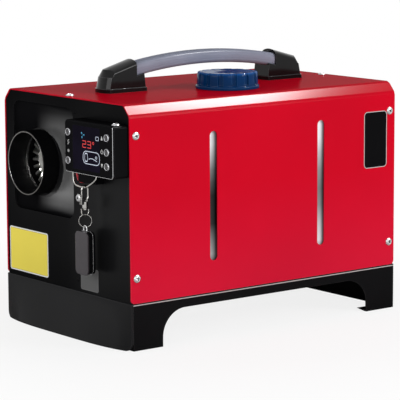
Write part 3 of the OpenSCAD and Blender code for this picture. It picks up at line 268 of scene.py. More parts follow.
def finish(name, colour, rough, metal=0.0, tone=0.08, patches=9.0, smudge=0.06,
           relief=0.1, grain=900.0, depth=0.0002, coat=0.0, edge=0.0004,
           stretch=(1, 1, 1), wear_and_highlight=None, shine=0.5, soft=0.0, haze=0.2, coat_ior=1.5):
    mat = bpy.data.materials.new(name)
    mat.use_nodes = True
    tree = mat.node_tree
    coord = add(tree, "ShaderNodeTexCoord").outputs["Object"]
    drift = add(tree, "ShaderNodeValToRGB", {"Fac": noise(tree, patches, 3.0, coord, stretch)})
    for stop, at, level in zip(drift.color_ramp.elements, (0.35, 0.65), (1 - tone, 1 + tone)):
        stop.position = at
        stop.color = (*[min(1.0, c * level) for c in colour], 1)
    last_colour = drift.outputs["Color"]
    smudged = span(tree, noise(tree, patches * 4, 4.0, coord, stretch), 0.0, 1.0,
                   max(0.02, rough - smudge), min(1.0, rough + smudge))
    bump = add(tree, "ShaderNodeBump", {"Strength": relief, "Distance": depth,
                                        "Height": noise(tree, grain, 2.0, coord, stretch)})
    if edge:
        rounded_normal = add(tree, "ShaderNodeBevel", {"Radius": edge}, samples=4).outputs["Normal"]
        tree.links.new(rounded_normal, bump.inputs["Normal"])
        # Edge colour: partly wear, partly a painted highlight where a rounded edge would catch the
        # light.
        if wear_and_highlight:
            last_colour = edge_wear_and_highlight(tree, rounded_normal, last_colour, wear_and_highlight)
    feed(tree, tree.nodes["Principled BSDF"], {
        "Base Color": last_colour, "Roughness": smudged, "Normal": bump.outputs["Normal"],
        "Metallic": metal, "Specular IOR Level": 0.0 if coat else shine, "Subsurface Weight": soft,
        "Subsurface Radius": (0.004, 0.004, 0.004), "Coat Weight": coat, "Coat Roughness": haze,
        "Coat IOR": coat_ior})
    finishes[name] = mat
    return mat


print("finish helper ready")

# %% [markdown]
# Some finishes change along the heater. `ramp_along` reads a ramp along one axis, `tone_along`
# multiplies a finish's colour by it, and `polish_along` lets two ramps set how glossy the coat is.

# %% Looks that change along an axis
def ramp_along(tree, axis, start, end, stops):
    parts = add(tree, "ShaderNodeSeparateXYZ", {0: add(tree, "ShaderNodeTexCoord").outputs["Object"]})
    ramp = add(tree, "ShaderNodeValToRGB", {"Fac": span(tree, parts.outputs[axis], start, end)})
    elements = ramp.color_ramp.elements
    for i, (at, level) in enumerate(stops):
        stop = elements[i] if i < 2 else elements.new(at)
        stop.position = at
        stop.color = (*level, 1) if isinstance(level, tuple) else (level, level, level, 1)
    return ramp.outputs["Color"]


def toned(name, tone, blend="MULTIPLY"):
    tree = finishes[name].node_tree
    base = tree.nodes["Principled BSDF"].inputs["Base Color"]
    tree.links.new(mixed(tree, 1.0, base.links[0].from_socket, tone, blend), base)


def tone_along(name, *ramp):
    toned(name, ramp_along(finishes[name].node_tree, *ramp))


def polish_along(name, *ramps):
    tree = finishes[name].node_tree
    weight = num(tree, "MULTIPLY", *[ramp_along(tree, *ramp) for ramp in ramps])
    tree.links.new(weight, tree.nodes["Principled BSDF"].inputs["Coat Weight"])


print("ramp helpers ready")

# %% [markdown]
# ### The painted sheet metal
# The cover is steel with a satin red powder coat, the panels and the base are painted black. Powder
# coat has a fine orange peel, which the relief gives, and its cut edges are lighter, partly from wear
# and partly as a painted highlight. The red is painted darker towards the top and lighter and pinker
# towards the bottom, as a painted reflection of the pale floor. A painted highlight runs along the
# skirt's top fold, and the front panel and its pan are glossier low and to the right.

# %% Painted metal
PALE_EDGE = (0.035, 0.035, 0.038)
finish("cover_red", (0.565, 0.007, 0.03), 0.3, tone=0.05, patches=5, relief=0.16, grain=700,
       depth=0.0001, edge=0.0006, wear_and_highlight=(0.78, 0.1, 0.12), coat=0.085)
finish("panel_black", (0.0042, 0.0042, 0.0046), 0.42, tone=0.2, patches=7, relief=0.2, grain=1100,
       depth=0.00012, wear_and_highlight=PALE_EDGE, shine=0.0, haze=0.3)
finish("pan_gloss", (0.005, 0.005, 0.0056), 0.4, tone=0.2, patches=7, relief=0.12, depth=0.0001,
       wear_and_highlight=PALE_EDGE, shine=0.0, haze=0.28, coat_ior=2.0)
finish("base_black", (0.004, 0.0038, 0.0043), 0.4, tone=0.2, patches=8, relief=0.25, depth=0.00012,
       edge=0.0005, wear_and_highlight=(0.06, 0.06, 0.06), coat=0.07, haze=0.3)
# Painted highlight: a thin light band is added to the base's black along the skirt's top fold, for the
# light that edge catches.
FOLD_HIGHLIGHT = (0.42, 0.38, 0.38)
toned("base_black", ramp_along(finishes["base_black"].node_tree, "Z", 0.051, 0.055, (
    (0.0, 0.0), (0.2, 0.0), (0.27, FOLD_HIGHLIGHT), (0.5, FOLD_HIGHLIGHT), (0.56, 0.0))), "ADD")
# Painted reflection: the red is darker near the top and lighter and pinker low down, where the pale
# floor would reflect in it.
tone_along("cover_red", "Z", 0.28, 0.055, (
    (0.0, (0.92, 0.1, 0.42)), (0.45, (0.96, 0.1, 0.45)), (0.72, (1.0, 0.45, 0.72)), (1.0, 1.0)))
polish_along("pan_gloss",
             ("X", -0.075, 0.0152, ((0.0, 0.0), (0.06, 0.05), (0.2, 0.28), (0.35, 0.6), (0.52, 0.88),
                                    (0.7, 1.0), (0.82, 1.0), (0.9, 0.45), (1.0, 0.15))),
             ("Z", 0.267, 0.137, ((0.0, 0.0), (0.08, 0.1), (0.2, 0.5), (0.34, 0.8), (0.5, 0.85),
                                  (0.8, 1.0), (0.92, 0.5), (1.0, 0.0))))
polish_along("panel_black",
             ("X", -0.1275, 0.1275, ((0.0, 0.04), (0.5, 0.08), (0.75, 0.24), (1.0, 0.2))),
             ("Z", 0.28, 0.055, ((0.0, 0.25), (0.25, 0.6), (0.45, 1.0), (0.8, 0.8), (1.0, 0.5))))
print("painted metal:", sorted(finishes))

# %% [markdown]
# ### The mouldings
# Moulded plastic is a little softer in its gloss than paint. The apron and the display frame are
# polished, the duct, the shells and the gland carry the fine grain of the mould.

# %% Moulded plastics and rubbers
finish("apron_gloss", (0.008, 0.008, 0.0088), 0.14, tone=0.12, relief=0.04, grain=400, edge=0.0008,
       wear_and_highlight=(0.07, 0.07, 0.075), coat=0.24, haze=0.14)
finish("duct_black", (0.003, 0.003, 0.0034), 0.36, tone=0.2, relief=0.2, grain=1500,
       wear_and_highlight=(0.05, 0.05, 0.053), coat=0.1, haze=0.3)
finish("handle_black", (0.0048, 0.0048, 0.0052), 0.2, tone=0.15, relief=0.2, grain=1800, edge=0.001,
       depth=0.0001, wear_and_highlight=(0.075, 0.075, 0.08), coat=0.9, haze=0.1, coat_ior=1.3)
finish("shell_dark", (0.008, 0.008, 0.009), 0.45, tone=0.2, relief=0.3, grain=1200,
       wear_and_highlight=(0.04, 0.04, 0.04), shine=0.25)
finish("ctrl_black", (0.0035, 0.0035, 0.004), 0.36, tone=0.15, relief=0.3, grain=1600, edge=0.0005,
       wear_and_highlight=PALE_EDGE, coat=0.05, haze=0.3)
finish("gland_black", (0.016, 0.016, 0.017), 0.45, relief=0.2, grain=1200, wear_and_highlight=(0.06, 0.06, 0.06))
finish("cap_blue", (0.0032, 0.09, 0.35), 0.24, tone=0.1, patches=14, relief=0.18, grain=1400,
       depth=0.0001, edge=0.0007, wear_and_highlight=(0.1, 0.3, 0.7), coat=0.55, haze=0.06, coat_ior=1.22)
# Painted light: the cap's top is painted about two and a half times as bright as its fluted side, for
# the light that falls on the top.
tone_along("cap_blue", "Z", 0.28, 0.3, ((0.0, 0.3), (0.85, 0.34), (0.97, 0.75)))
finish("grip_grey", (0.255, 0.27, 0.345), 0.3, tone=0.06, patches=20, relief=0.25, grain=1600,
       depth=0.0001, edge=0.0005, wear_and_highlight=(0.5, 0.52, 0.6), coat=0.06)
finish("rubber_black", (0.014, 0.014, 0.014), 0.65, relief=0.3, grain=1500, shine=0.3)
finish("filter_clear", (0.72, 0.74, 0.76), 0.2, grain=600, soft=0.3)
finish("line_black", (0.02, 0.02, 0.022), 0.42, relief=0.2, grain=1500)
finish("loom_black", (0.016, 0.016, 0.017), 0.5, relief=0.4)
finish("board_green", (0.012, 0.11, 0.04), 0.3, tone=0.35, patches=160, relief=0.3, grain=500)
finish("face_gloss", (0.003, 0.003, 0.0036), 0.16, tone=0.1, relief=0.04, grain=500,
       wear_and_highlight=(0.03, 0.03, 0.033), coat=0.05, haze=0.15)
finish("lead_red", (0.52, 0.012, 0.03), 0.42, relief=0.2, grain=1600)
finish("remote_black", (0.0035, 0.0035, 0.004), 0.14, relief=0.05, grain=500, shine=0.25)
finish("remote_grey", (0.038, 0.032, 0.037), 0.18, tone=0.12, patches=30, relief=0.06, grain=600,
       edge=0.0005, wear_and_highlight=(0.16, 0.155, 0.165), shine=0.25)
finish("key_dark", (0.03, 0.03, 0.032), 0.6, relief=0.3, grain=2000)
print(len(finishes), "finishes so far")

# %% [markdown]
# ### The tank
# The tank is a translucent white bottle. What shows of it through the slots carries painted light and
# shade: a ramp along Z for each slot paints it bright at the top, dark in the middle and lighter near
# the bottom, a ramp along Y picks the slot, and one more ramp along Y paints the shadow of the slot's
# edge.

# %% Tank with painted light and shade
SLOT_SHADE_TOP, SLOT_SHADE_BOTTOM = 0.242, 0.0915
finish("tank_white", (0.92, 0.93, 0.97), 0.36, tone=0.05, patches=6, relief=0.2, grain=500, edge=0.0008,
       coat=0.08)
tank = finishes["tank_white"].node_tree
# Painted light and shade: each slot's view of the tank is bright at the top, dark in the middle and
# lighter near the bottom.
front_slot_shade, rear_slot_shade = [ramp_along(tank, "Z", SLOT_SHADE_TOP, SLOT_SHADE_BOTTOM, stops) for stops in (
    ((0.0, 1.0), (0.1, 1.0), (0.2, 0.6), (0.3, 0.25), (0.4, 0.1), (0.5, 0.03), (0.72, 0.04),
     (0.84, 0.25), (0.95, 0.45), (1.0, 0.3)),
    ((0.0, 1.0), (0.14, 0.95), (0.25, 0.62), (0.4, 0.32), (0.55, 0.22), (0.68, 0.3), (0.82, 0.62),
     (0.96, 0.85), (1.0, 0.6)))]
to_the_rear = ramp_along(tank, "Y", -0.01, 0.01, ((0.0, 0.0), (1.0, 1.0)))
toned("tank_white", mixed(tank, to_the_rear, front_slot_shade, rear_slot_shade))
# Painted shadow: across each slot the tank darkens towards the slot's rear edge, for the shadow of that
# edge.
tone_along("tank_white", "Y", -0.0788, 0.0955, (
    (0.0, 1.0), (0.022, 0.6), (0.045, 0.22), (0.063, 0.05), (0.5, 0.4), (0.935, 1.0), (0.957, 0.9),
    (0.98, 0.4), (1.0, 0.12)))
print("tank ready")

# %% [markdown]
# ### Bare metal
# Rolled and plated steel shows fine lines along one direction, which a stretched noise gives. A casting
# is blotchy instead, and its relief is coarser. The exchanger's dome is made much darker than its fins,
# which keep their full colour: the distance from the barrel's axis tells the two apart.

# %% Metals
finish("core_steel", (0.5, 0.5, 0.52), 0.35, metal=1, stretch=(40, 1, 40), grain=60)
finish("brass", (0.62, 0.42, 0.14), 0.28, metal=1, tone=0.1, grain=800)
finish("pump_steel", (0.52, 0.52, 0.54), 0.3, metal=1, tone=0.12, stretch=(1, 12, 1), grain=200)
finish("cast_aluminium", (0.8, 0.79, 0.75), 0.4, metal=1, tone=0.14, patches=30, smudge=0.1, relief=0.4,
       grain=650, depth=0.0004)
finish("burner_steel", (0.42, 0.36, 0.29), 0.36, metal=1, tone=0.25, patches=18, grain=400)
finish("stand_steel", (0.5, 0.5, 0.52), 0.34, metal=1, tone=0.14, patches=24, grain=500)
finish("key_silver", (0.46, 0.46, 0.48), 0.26, metal=1, tone=0.05, grain=1200)
finish("key_dish", (0.01, 0.01, 0.012), 0.14, relief=0.05, shine=0.6, edge=0)
finish("screw_steel", (0.5, 0.5, 0.51), 0.26, metal=1, patches=120, edge=0.0003)
finish("painted_recess_shade", (0.03, 0.03, 0.032), 0.5, tone=0.1, relief=0.2, edge=0)
finish("wire_steel", (0.46, 0.45, 0.43), 0.16, metal=1, patches=80)
finish("remote_trim", (0.52, 0.52, 0.53), 0.16, metal=1, tone=0.05, patches=80)

DOME_EDGE, FIN_START, DOME_DARKENING = 0.0195, 0.0225, 0.045
casting = finishes["cast_aluminium"].node_tree
from_axis = vec(casting, "SUBTRACT", add(casting, "ShaderNodeTexCoord").outputs["Object"],
                (DUCT_X * MM, 0, DUCT_Z * MM))
off_axis = vec(casting, "LENGTH", vec(casting, "MULTIPLY", from_axis, (1, 0, 1)))
# The dome's colour is darkened to a small fraction of the casting's.
toned("cast_aluminium", span(casting, off_axis, DOME_EDGE, FIN_START, DOME_DARKENING))

slots = {row["node"]: row["material_slot"] for row in frame["record"]["subparts"]}
for name, solid in nodes.items():
    solid.data.materials.clear()
    solid.data.materials.append(finishes[slots[name]])
print(len(finishes), "finishes on", len(nodes), "solids")

# %% [markdown]
# ## From a solid to a finished piece
# A piece that replaces a solid is a mesh of its own. `finished` gives it its finish, hides the solid it
# stands for and hangs it on the moving body that solid rides on. The body and the finish are those of
# the solid. A piece that stands for none, such as a sticker, is an `extra` on the case.

# %% Make a mesh a piece
home = {node: body for body, names in frame["record"]["behaviour"]["bodies"].items() for node in names}


def finished(name, mesh, *stands_for, slot=None, body=None, look=None):
    piece = put(name, mesh)
    slot = slot or slots[stands_for[0]]
    if not mesh.materials or look:
        mesh.materials.clear()
        mesh.materials.append(look or finishes[slot])
    if stands_for:
        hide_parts(*stands_for)
    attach(piece, body or home[stands_for[0]])
    print(name, len(mesh.polygons), "faces")


def extra(name, mesh, slot, look=None):
    finished(name, mesh, slot=slot, body="heater_case", look=look)


# %% [markdown]
# Sheet metal and mouldings have no perfectly sharp edges, and the small round along an edge is what
# catches the light. `rounded` copies a solid, joins its loose triangles into clean faces and gives
# the copy's edges a narrow bevel. Weighted normals then let the large faces decide the shading, so
# they stay flat and only the bevels look round.

# %% Round the edges of a copy
def evaluated_mesh(obj):
    ready = obj.evaluated_get(bpy.context.evaluated_depsgraph_get())
    mesh = bpy.data.meshes.new_from_object(ready)
    bpy.data.objects.remove(obj)
    return mesh


def modified(mesh, kind, **settings):
    helper = put("helper", mesh)
    modifier = helper.modifiers.new("change", kind)
    for key, value in settings.items():
        setattr(modifier, key, value)
    return evaluated_mesh(helper)


def bevelled(mesh, width, segments, angle):
    return modified(mesh, "BEVEL", width=width, segments=segments, limit_method="ANGLE",
                    angle_limit=math.radians(angle))


def smooth(mesh, angle=35):
    mesh.polygons.foreach_set("use_smooth", [True] * len(mesh.polygons))
    mesh.set_sharp_from_angle(angle=math.radians(angle))
    return mesh


def rounded(node, width, segments=2, angle=30, change=None):
    bm = bmesh.new()
    bm.from_mesh(nodes[node].data)
    bmesh.ops.remove_doubles(bm, verts=bm.verts, dist=2e-6)
    bmesh.ops.dissolve_limit(bm, angle_limit=math.radians(0.6), verts=bm.verts, edges=bm.edges)
    if change:
        change(bm)
    made = smooth(bevelled(mesh_of(bm, node, turn_out=False), width, segments, angle), 50)
    made = modified(made, "WEIGHTED_NORMAL", weight=100, keep_sharp=True)
    made.materials.clear()
    return made


print("piece helpers ready")

# %% [markdown]
# ## The cover
# The cover is one sheet of steel bent over the case, so its long edges are bends with a radius of a
# few millimetres, and only its cut edges are sharp. The bends are bevelled first and wider, then
# everything else gets the narrow round.

# %% Cover with round bends
LONG, HIGH_UP, FOLD, OUTER_BEND, INNER_BEND = 0.3, 0.2, math.radians(20), 0.003, 0.0015


def bend_long_edges(bm):
    bends = [e for e in bm.edges
             if e.calc_length() > LONG and abs(e.verts[0].co.x - e.verts[1].co.x) < 1e-5
             and e.verts[0].co.z > HIGH_UP and e.calc_face_angle(0) > FOLD]
    outer = [e for e in bends if e.is_convex]
    inner = [e for e in bends if not e.is_convex]
    for edges, radius in ((outer, OUTER_BEND), (inner, INNER_BEND)):
        bmesh.ops.bevel(bm, geom=edges, offset=radius, segments=5, profile=0.5, affect="EDGES")


finished("cover_sheet", rounded("outer_cover", 0.0004, 2, 50, bend_long_edges), "outer_cover")

# %% [markdown]
# The end panels, the floor, the stand and the skirt are folded or pressed sheet too. The lips under
# the skirt's rear feet are narrower than those in front.

# %% Panels and base
LIP_TOP, REAR_Y, LIP_FROM, LIP_TO, NARROW_LIP = 0.002, 0.1, 0.108, 0.111, 0.124


def narrow_rear_lips(bm):
    for vert in bm.verts:
        x, y, z = vert.co
        if z < LIP_TOP and y > REAR_Y and LIP_FROM < abs(x) < LIP_TO:
            vert.co.x = math.copysign(NARROW_LIP, x)


for node in ("front_panel", "rear_panel", "floor_plate", "heater_stand", "base_skirt"):
    change = narrow_rear_lips if node == "base_skirt" else None
    finished(node + "_sheet", rounded(node, 0.0005, change=change), node)

# %% [markdown]
# Many pieces are stacks of outlines. `arc` and `rounded_outline` give the points of an outline, and
# `skin` joins each ring of points to the next one with faces; a ring of one point makes triangles.

# %% Outlines and the faces between them
def skin(bm, *rings):
    for low, high in zip(rings, rings[1:]):
        n = max(len(low), len(high))
        for i in range(n):
            j = (i + 1) % n
            corners = low[i % len(low)], low[j % len(low)], high[j % len(high)], high[i % len(high)]
            bm.faces.new(list(dict.fromkeys(corners)))


def arc(cx, cy, r, start, end, steps=6):
    angles = [math.radians(start + (end - start) * k / steps) for k in range(steps + 1)]
    return [(cx + r * math.cos(a), cy + r * math.sin(a)) for a in angles]


def rounded_outline(w, h, r, steps=8, cx=0.0, cy=0.0):
    corners = ((1, 1, 0), (-1, 1, 90), (-1, -1, 180), (1, -1, 270))
    return [point for sx, sy, start in corners
            for point in arc(cx + sx * (w / 2 - r), cy + sy * (h / 2 - r), r, start, start + 90, steps)]


print("outline helpers ready")

# %% [markdown]
# The recess round the outlet is deep-drawn: its floor runs up into its walls in one wide curve. The
# glossy paint shows that curve as a slow change from dark to light, so the pan is drawn anew as
# a stack of rounded outlines, each a little smaller and deeper than the last. Two cylinders then cut
# the holes for the outlet and for a screw.

# %% Deep-drawn recess
PAN_X, PAN_Z, PAN_W, PAN_H, PAN_R = -109.6, 137.0, 124.8, 130.0, 12.0
PAN_FRONT, PAN_FLOOR, PAN_SHEET, PAN_HOLE_R = 2.5, 11.0, 1.5, 40.5
BEND_IN, BEND_DEEP = 15.0, 8.0
FLANGE, FLANGE_RIGHT = 5.0, 12.0
PAN_SCREW_X, PAN_SCREW_Z, PAN_SCREW_R = 24.8, 163.8, 2.2


def pan_outline(inset, grow_right=0.0):
    r = max(PAN_R - inset * 0.25, 3.0) if inset > 0 else PAN_R - inset * 0.4
    cx, cz = PAN_X + PAN_W / 2, PAN_Z + PAN_H / 2
    outline = rounded_outline(PAN_W - 2 * inset, PAN_H - 2 * inset, r, 10, cx, cz)
    return [(x + (grow_right if x > cx else 0), z) for x, z in outline]


bend = [(pan_outline(BEND_IN * (1 - c) + 0.01), PAN_FLOOR - BEND_DEEP + BEND_DEEP * s)
        for c, s in arc(0, 0, 1, 0, 90, 12)]
front_stack = [(pan_outline(-FLANGE, FLANGE_RIGHT), PAN_FRONT), (pan_outline(0), PAN_FRONT)] + bend
back_stack = [(pan_outline(-FLANGE, FLANGE_RIGHT), PAN_FRONT + PAN_SHEET),
              (pan_outline(-PAN_SHEET), PAN_FRONT + PAN_SHEET),
              (pan_outline(-PAN_SHEET), PAN_FLOOR - 4.0), (pan_outline(2.0), PAN_FLOOR + PAN_SHEET)]
bm = bmesh.new()
front_rings, back_rings = [[[bm.verts.new(spot(x, y, z)) for x, z in outline] for outline, y in stack]
                           for stack in (front_stack, back_stack)]
for rings in (front_rings, back_rings, (front_rings[0], back_rings[0])):
    skin(bm, *rings)
for end in (front_rings[-1], back_rings[-1]):
    bm.faces.new(end)
pan_mesh = mesh_of(bm, "pan")
for x, z, r in ((DUCT_X, DUCT_Z, PAN_HOLE_R), (PAN_SCREW_X, PAN_SCREW_Z, PAN_SCREW_R)):
    bm = bmesh.new()
    bmesh.ops.create_cone(bm, cap_ends=True, segments=128, radius1=r * MM, radius2=r * MM, depth=0.04)
    drill = put("drill", mesh_of(bm, "drill", turn_out=False))
    drill.data.transform(Matrix.Translation(spot(x, 8, z)) @ Matrix.Rotation(math.radians(90), 4, "X"))
    pan_mesh = modified(pan_mesh, "BOOLEAN", operation="DIFFERENCE", solver="EXACT", object=drill)
    bpy.data.objects.remove(drill)
finished("outlet_recess_pan_sheet", smooth(pan_mesh, 45), "outlet_recess_pan",
         look=finishes["pan_gloss"])

# %% [markdown]
# ## Handle
# Two moulded feet hold a soft grip over a steel core. The feet are moulded with rounded edges, so
# their bevel is wide. The grip is swept along the same arc as its solid, with a section that has two
# shallow grooves along each side.

# %% Handle feet
for node in ("handle_foot_front", "handle_foot_rear"):
    finished(node + "_moulding", rounded(node, 0.0011, 3, 24), node)

# %% Handle grip
GRIP_W, GRIP_T, GRIP_STEPS = 24.0, 16.0, 72
GROOVES, GROOVE_W, GROOVE_DEEP = (-2.6, 3.4), 0.55, 0.45
ARC_HALF, ARC_FALL = 93.0, 7.5
ARC_R = (ARC_HALF ** 2 + ARC_FALL ** 2) / (2 * ARC_FALL)
grip_low, _, (_, grip_l, grip_h) = measure("handle_grip")
grip_mid_z = grip_low.z / MM + grip_h - GRIP_T / 2
arc_y, arc_z = CASE_L / 2, grip_mid_z - ARC_R
reach = math.asin(grip_l / 2 / ARC_R)


def densified(points, step):
    out = []
    for a, b in zip(points, points[1:]):
        n = max(1, int(math.dist(a, b) / step))
        out += [tuple(p + (q - p) * k / n for p, q in zip(a, b)) for k in range(n)]
    return out


outline = rounded_outline(GRIP_W, GRIP_T, 0.4 * GRIP_T, 10)
section = []
for x, z in densified(outline + outline[:1], 0.8):
    groove = sum(math.exp(-((z - g) / GROOVE_W) ** 2) for g in GROOVES) * (abs(x) > GRIP_W / 2 - 3)
    section.append((x - math.copysign(GROOVE_DEEP * groove, x), z))
bm = bmesh.new()
rings = []
for k in range(GRIP_STEPS + 1):
    a = -reach + 2 * reach * k / GRIP_STEPS
    rings.append([bm.verts.new(spot(x, arc_y + (ARC_R + z) * math.sin(a),
                                    arc_z + (ARC_R + z) * math.cos(a))) for x, z in section])
skin(bm, *rings)
for end in (rings[0], rings[-1]):
    bm.faces.new(end)
finished("soft_grip", smooth(mesh_of(bm, "grip"), 50), "handle_grip")

# %% [markdown]
# ## Pieces that are turned
# The duct, the keys and the cap are round, so each is a profile turned about an axis. `turned` takes
# the profile as pairs of radius and height, and a place and direction for the axis.

# %% Turn a profile about an axis
ALONG_Y, ALONG_Z = (0, 1, 0), (0, 0, 1)


def turned(name, profile, place, axis, steps=96, closed=True, bump=None):
    turn_to = Vector(ALONG_Z).rotation_difference(Vector(axis)).to_matrix()
    bm = bmesh.new()
    rings = []
    for r, h in profile:
        ring = []
        for i in range(steps if r > 0 else 1):
            a = 2 * math.pi * i / steps
            out = (r + (bump(a, r, h) if bump else 0)) * MM
            ring.append(place + turn_to @ Vector((out * math.cos(a), out * math.sin(a), h * MM)))
        rings.append([bm.verts.new(point) for point in ring])
    skin(bm, *rings, *(rings[:1] if closed else []))
    return mesh_of(bm, name)


print("turning helper ready")

# %% [markdown]
# ## Outlet duct
# The duct is a moulded ring; a thin paler ring on its rim is a painted highlight. Faint ribs run along
# its outside, so that a hose clamp can't slip round.

# %% Outlet duct
DUCT_R, DUCT_BORE, DUCT_REACH, DUCT_RIBS, RIB_DEEP = 38.5, 36.0, 10.0, 36, 0.25
_, _, (flange_w, duct_len, _) = measure("outlet_duct")
flange_r = flange_w / 2
duct_place = spot(DUCT_X, -DUCT_REACH, DUCT_Z)
profile = [(DUCT_BORE, duct_len), (DUCT_BORE, 1.6)] + arc(DUCT_BORE + 0.7, 0.7, 0.7, 180, 270, 4) \
    + arc(DUCT_R - 0.6, 0.6, 0.6, 270, 360, 4) \
    + [(DUCT_R, 3.0), (DUCT_R, 6.0), (DUCT_R, duct_len - 2.5), (flange_r, duct_len - 2.5),
       (flange_r, duct_len)]


def duct_ribs(angle, r, h):
    on_side = DUCT_R - 0.1 < r < DUCT_R + 0.1 and 2.5 < h < duct_len - 2.6
    return -RIB_DEEP * (0.5 + 0.5 * math.cos(DUCT_RIBS * angle)) ** 3 if on_side else 0.0


duct_mesh = turned("duct", profile, duct_place, ALONG_Y, 216, bump=duct_ribs)
finished("duct_moulding", smooth(duct_mesh), "outlet_duct")
# Painted highlight: a thin paler ring on the duct's rim stands for the light that the rim catches.
rim_highlight_profile = [(DUCT_BORE + 0.55, 0.3), (DUCT_BORE + 0.7, -0.05), (DUCT_R - 0.75, -0.05),
               (DUCT_R - 0.6, 0.3)]
extra("duct_rim_ring", smooth(turned("rim", rim_highlight_profile, duct_place, ALONG_Y, 144)), "duct_black",
      finish("duct_rim_highlight", (0.075, 0.07, 0.062), 0.35, shine=0.2))

# %% [markdown]
# ## Geometry Nodes helpers
# A tree of nodes makes what repeats or follows a path. `new_tree` makes a tree with named inputs,
# `close_tree` ends it, and `grow` runs it on a mesh and returns the result as plain faces, so that
# nothing in the finished scene depends on a modifier.

# %% Build and run node trees
def new_tree(name, **inputs):
    tree = bpy.data.node_groups.new(name, "GeometryNodeTree")
    for label, kind in {"Geometry": "Geometry", **inputs, "Finish": "Material"}.items():
        tree.interface.new_socket(label, in_out="INPUT", socket_type="NodeSocket" + kind)
    tree.interface.new_socket("Geometry", in_out="OUTPUT", socket_type="NodeSocketGeometry")
    return tree, add(tree, "NodeGroupInput").outputs


def close_tree(tree, given, geometry):
    real = add(tree, "GeometryNodeRealizeInstances", {"Geometry": geometry})
    paint = add(tree, "GeometryNodeSetMaterial", {"Geometry": real.outputs["Geometry"],
                                                  "Material": given["Finish"]})
    add(tree, "NodeGroupOutput", {0: paint.outputs["Geometry"]})


def grow(name, base, tree, values):
    maker = put(name + "_maker", base)
    modifier = maker.modifiers.new("grow", "NODES")
    modifier.node_group = tree
    for item in tree.interface.items_tree:
        if item.in_out == "INPUT" and item.name in values:
            modifier[item.identifier] = values[item.name]
    return evaluated_mesh(maker)


print("node helpers ready")

# %% [markdown]
# ## Wires, leads and lines
# A wire is a round section that follows a path. The tree takes the path as a chain of edges, turns
# it into a curve and sweeps a circle along it. All wires of the heater use this one tree.

# %% Tree for a wire
wire_tree, given = new_tree("wire", Radius="Float", Sides="Int")
path_curve = add(wire_tree, "GeometryNodeMeshToCurve", {"Mesh": given["Geometry"]})
circle = add(wire_tree, "GeometryNodeCurvePrimitiveCircle", {
    "Resolution": given["Sides"], "Radius": given["Radius"]})
sweep = add(wire_tree, "GeometryNodeCurveToMesh", {
    "Curve": path_curve.outputs["Curve"], "Profile Curve": circle.outputs["Curve"], "Fill Caps": True})
soft_faces = add(wire_tree, "GeometryNodeSetShadeSmooth", {"Geometry": sweep.outputs["Mesh"]})
close_tree(wire_tree, given, soft_faces.outputs["Geometry"])


def wire(name, points, radius, finish_name, sides=20):
    chain = bpy.data.meshes.new(name + "_path")
    chain.from_pydata(points, [(i, i + 1) for i in range(len(points) - 1)], [])
    mesh = grow(name, chain, wire_tree, {"Radius": radius * MM, "Sides": sides,
                                         "Finish": finishes[finish_name]})
    mesh.set_sharp_from_angle(angle=math.radians(40))
    return mesh


def curve_through(points, n):
    m = len(points) - 1
    p = [Vector(q) for q in points]
    p = [p[0], (p[0] + p[1]) / 2] + p[1:m] + [(p[m - 1] + p[m]) / 2, p[m]]
    out = []
    for i in range(len(p) - 1):
        a, b, c, d = p[max(i - 1, 0)], p[i], p[i + 1], p[min(i + 2, len(p) - 1)]
        for t in [k / n for k in range(n)]:
            out.append(0.5 * (2 * b + (c - a) * t + (2 * a - 5 * b + 4 * c - d) * t * t
                              + (3 * b - 3 * c + d - a) * t ** 3))
    out.append(p[-1])
    return [spot(*q) for q in out]


print("wire tree ready")

# %% [markdown]
# ## The chain that holds the remote
# A wire bail hangs from the controller's lower face, a clasp hooks over it, a swivel eye turns in the
# clasp, and a split ring joins the eye to the remote's ear. The bail is one bent wire, the split ring
# is wound twice, so its path is a flat spiral of two turns.

# %% Bail
CHAIN_X, CHAIN_Y, CHAIN_TOP = 58.5, -13.5, 181.0
CTRL_LOW, CTRL_LEFT = 198.0, 31.5
BAIL_LEFT, BAIL_RIGHT, BAIL_R = CTRL_LEFT + 3.9, CTRL_LEFT + 51, 0.9
bail_path = [(x, CHAIN_Y, z) for x, z in (
    (BAIL_LEFT, CTRL_LOW + 1), (BAIL_LEFT, CHAIN_TOP + 5), (BAIL_LEFT + 2.2, CHAIN_TOP + 1.2),
    (CHAIN_X - 2, CHAIN_TOP - 0.4), (CHAIN_X + 3, CHAIN_TOP + 0.2), (BAIL_RIGHT - 1, CTRL_LOW - 5.5),
    (BAIL_RIGHT, CTRL_LOW - 3.5), (BAIL_RIGHT, CTRL_LOW + 1))]
bent = densified(bail_path, 3) + [bail_path[-1]]
for _ in range(3):
    bent = [bent[0]] + [tuple((a + 2 * b + c) / 4 for a, b, c in zip(*three))
                        for three in zip(bent, bent[1:], bent[2:])] + [bent[-1]]
finished("bail_wire", wire("bail", [spot(*p) for p in bent], BAIL_R, "wire_steel"), "lanyard_bail")

# %% Split ring of two turns
RING_WIRE, RING_R, RING_PITCH, RING_FACING = 0.312, 7.4, 0.62, math.radians(52)
_, ring_mid, _ = measure("split_ring")
across, upwards = Vector((math.cos(RING_FACING), math.sin(RING_FACING), 0)), Vector(ALONG_Z)
through = across.cross(upwards)
turns = []
for k in range(145):
    a = math.radians(5 * k)
    shift = (k / 144 - 0.5) * RING_PITCH
    turns.append(ring_mid + (across * math.cos(a) + upwards * math.sin(a)) * RING_R * MM
                 + through * shift * MM)
finished("split_ring_wire", wire("split_ring", turns, RING_WIRE, "wire_steel", 16), "split_ring")

# %% [markdown]
# The clasp, the swivel and the gate are small castings whose solids already have the right shape.
# They only need rounder edges.

# %% Clasp, swivel and gate
for name, width in (("clasp_body", 0.00018), ("clasp_lever", 0.00015), ("swivel_eye", 0.00015)):
    finished(name + "_casting", rounded(name, width, 2, 40), name)

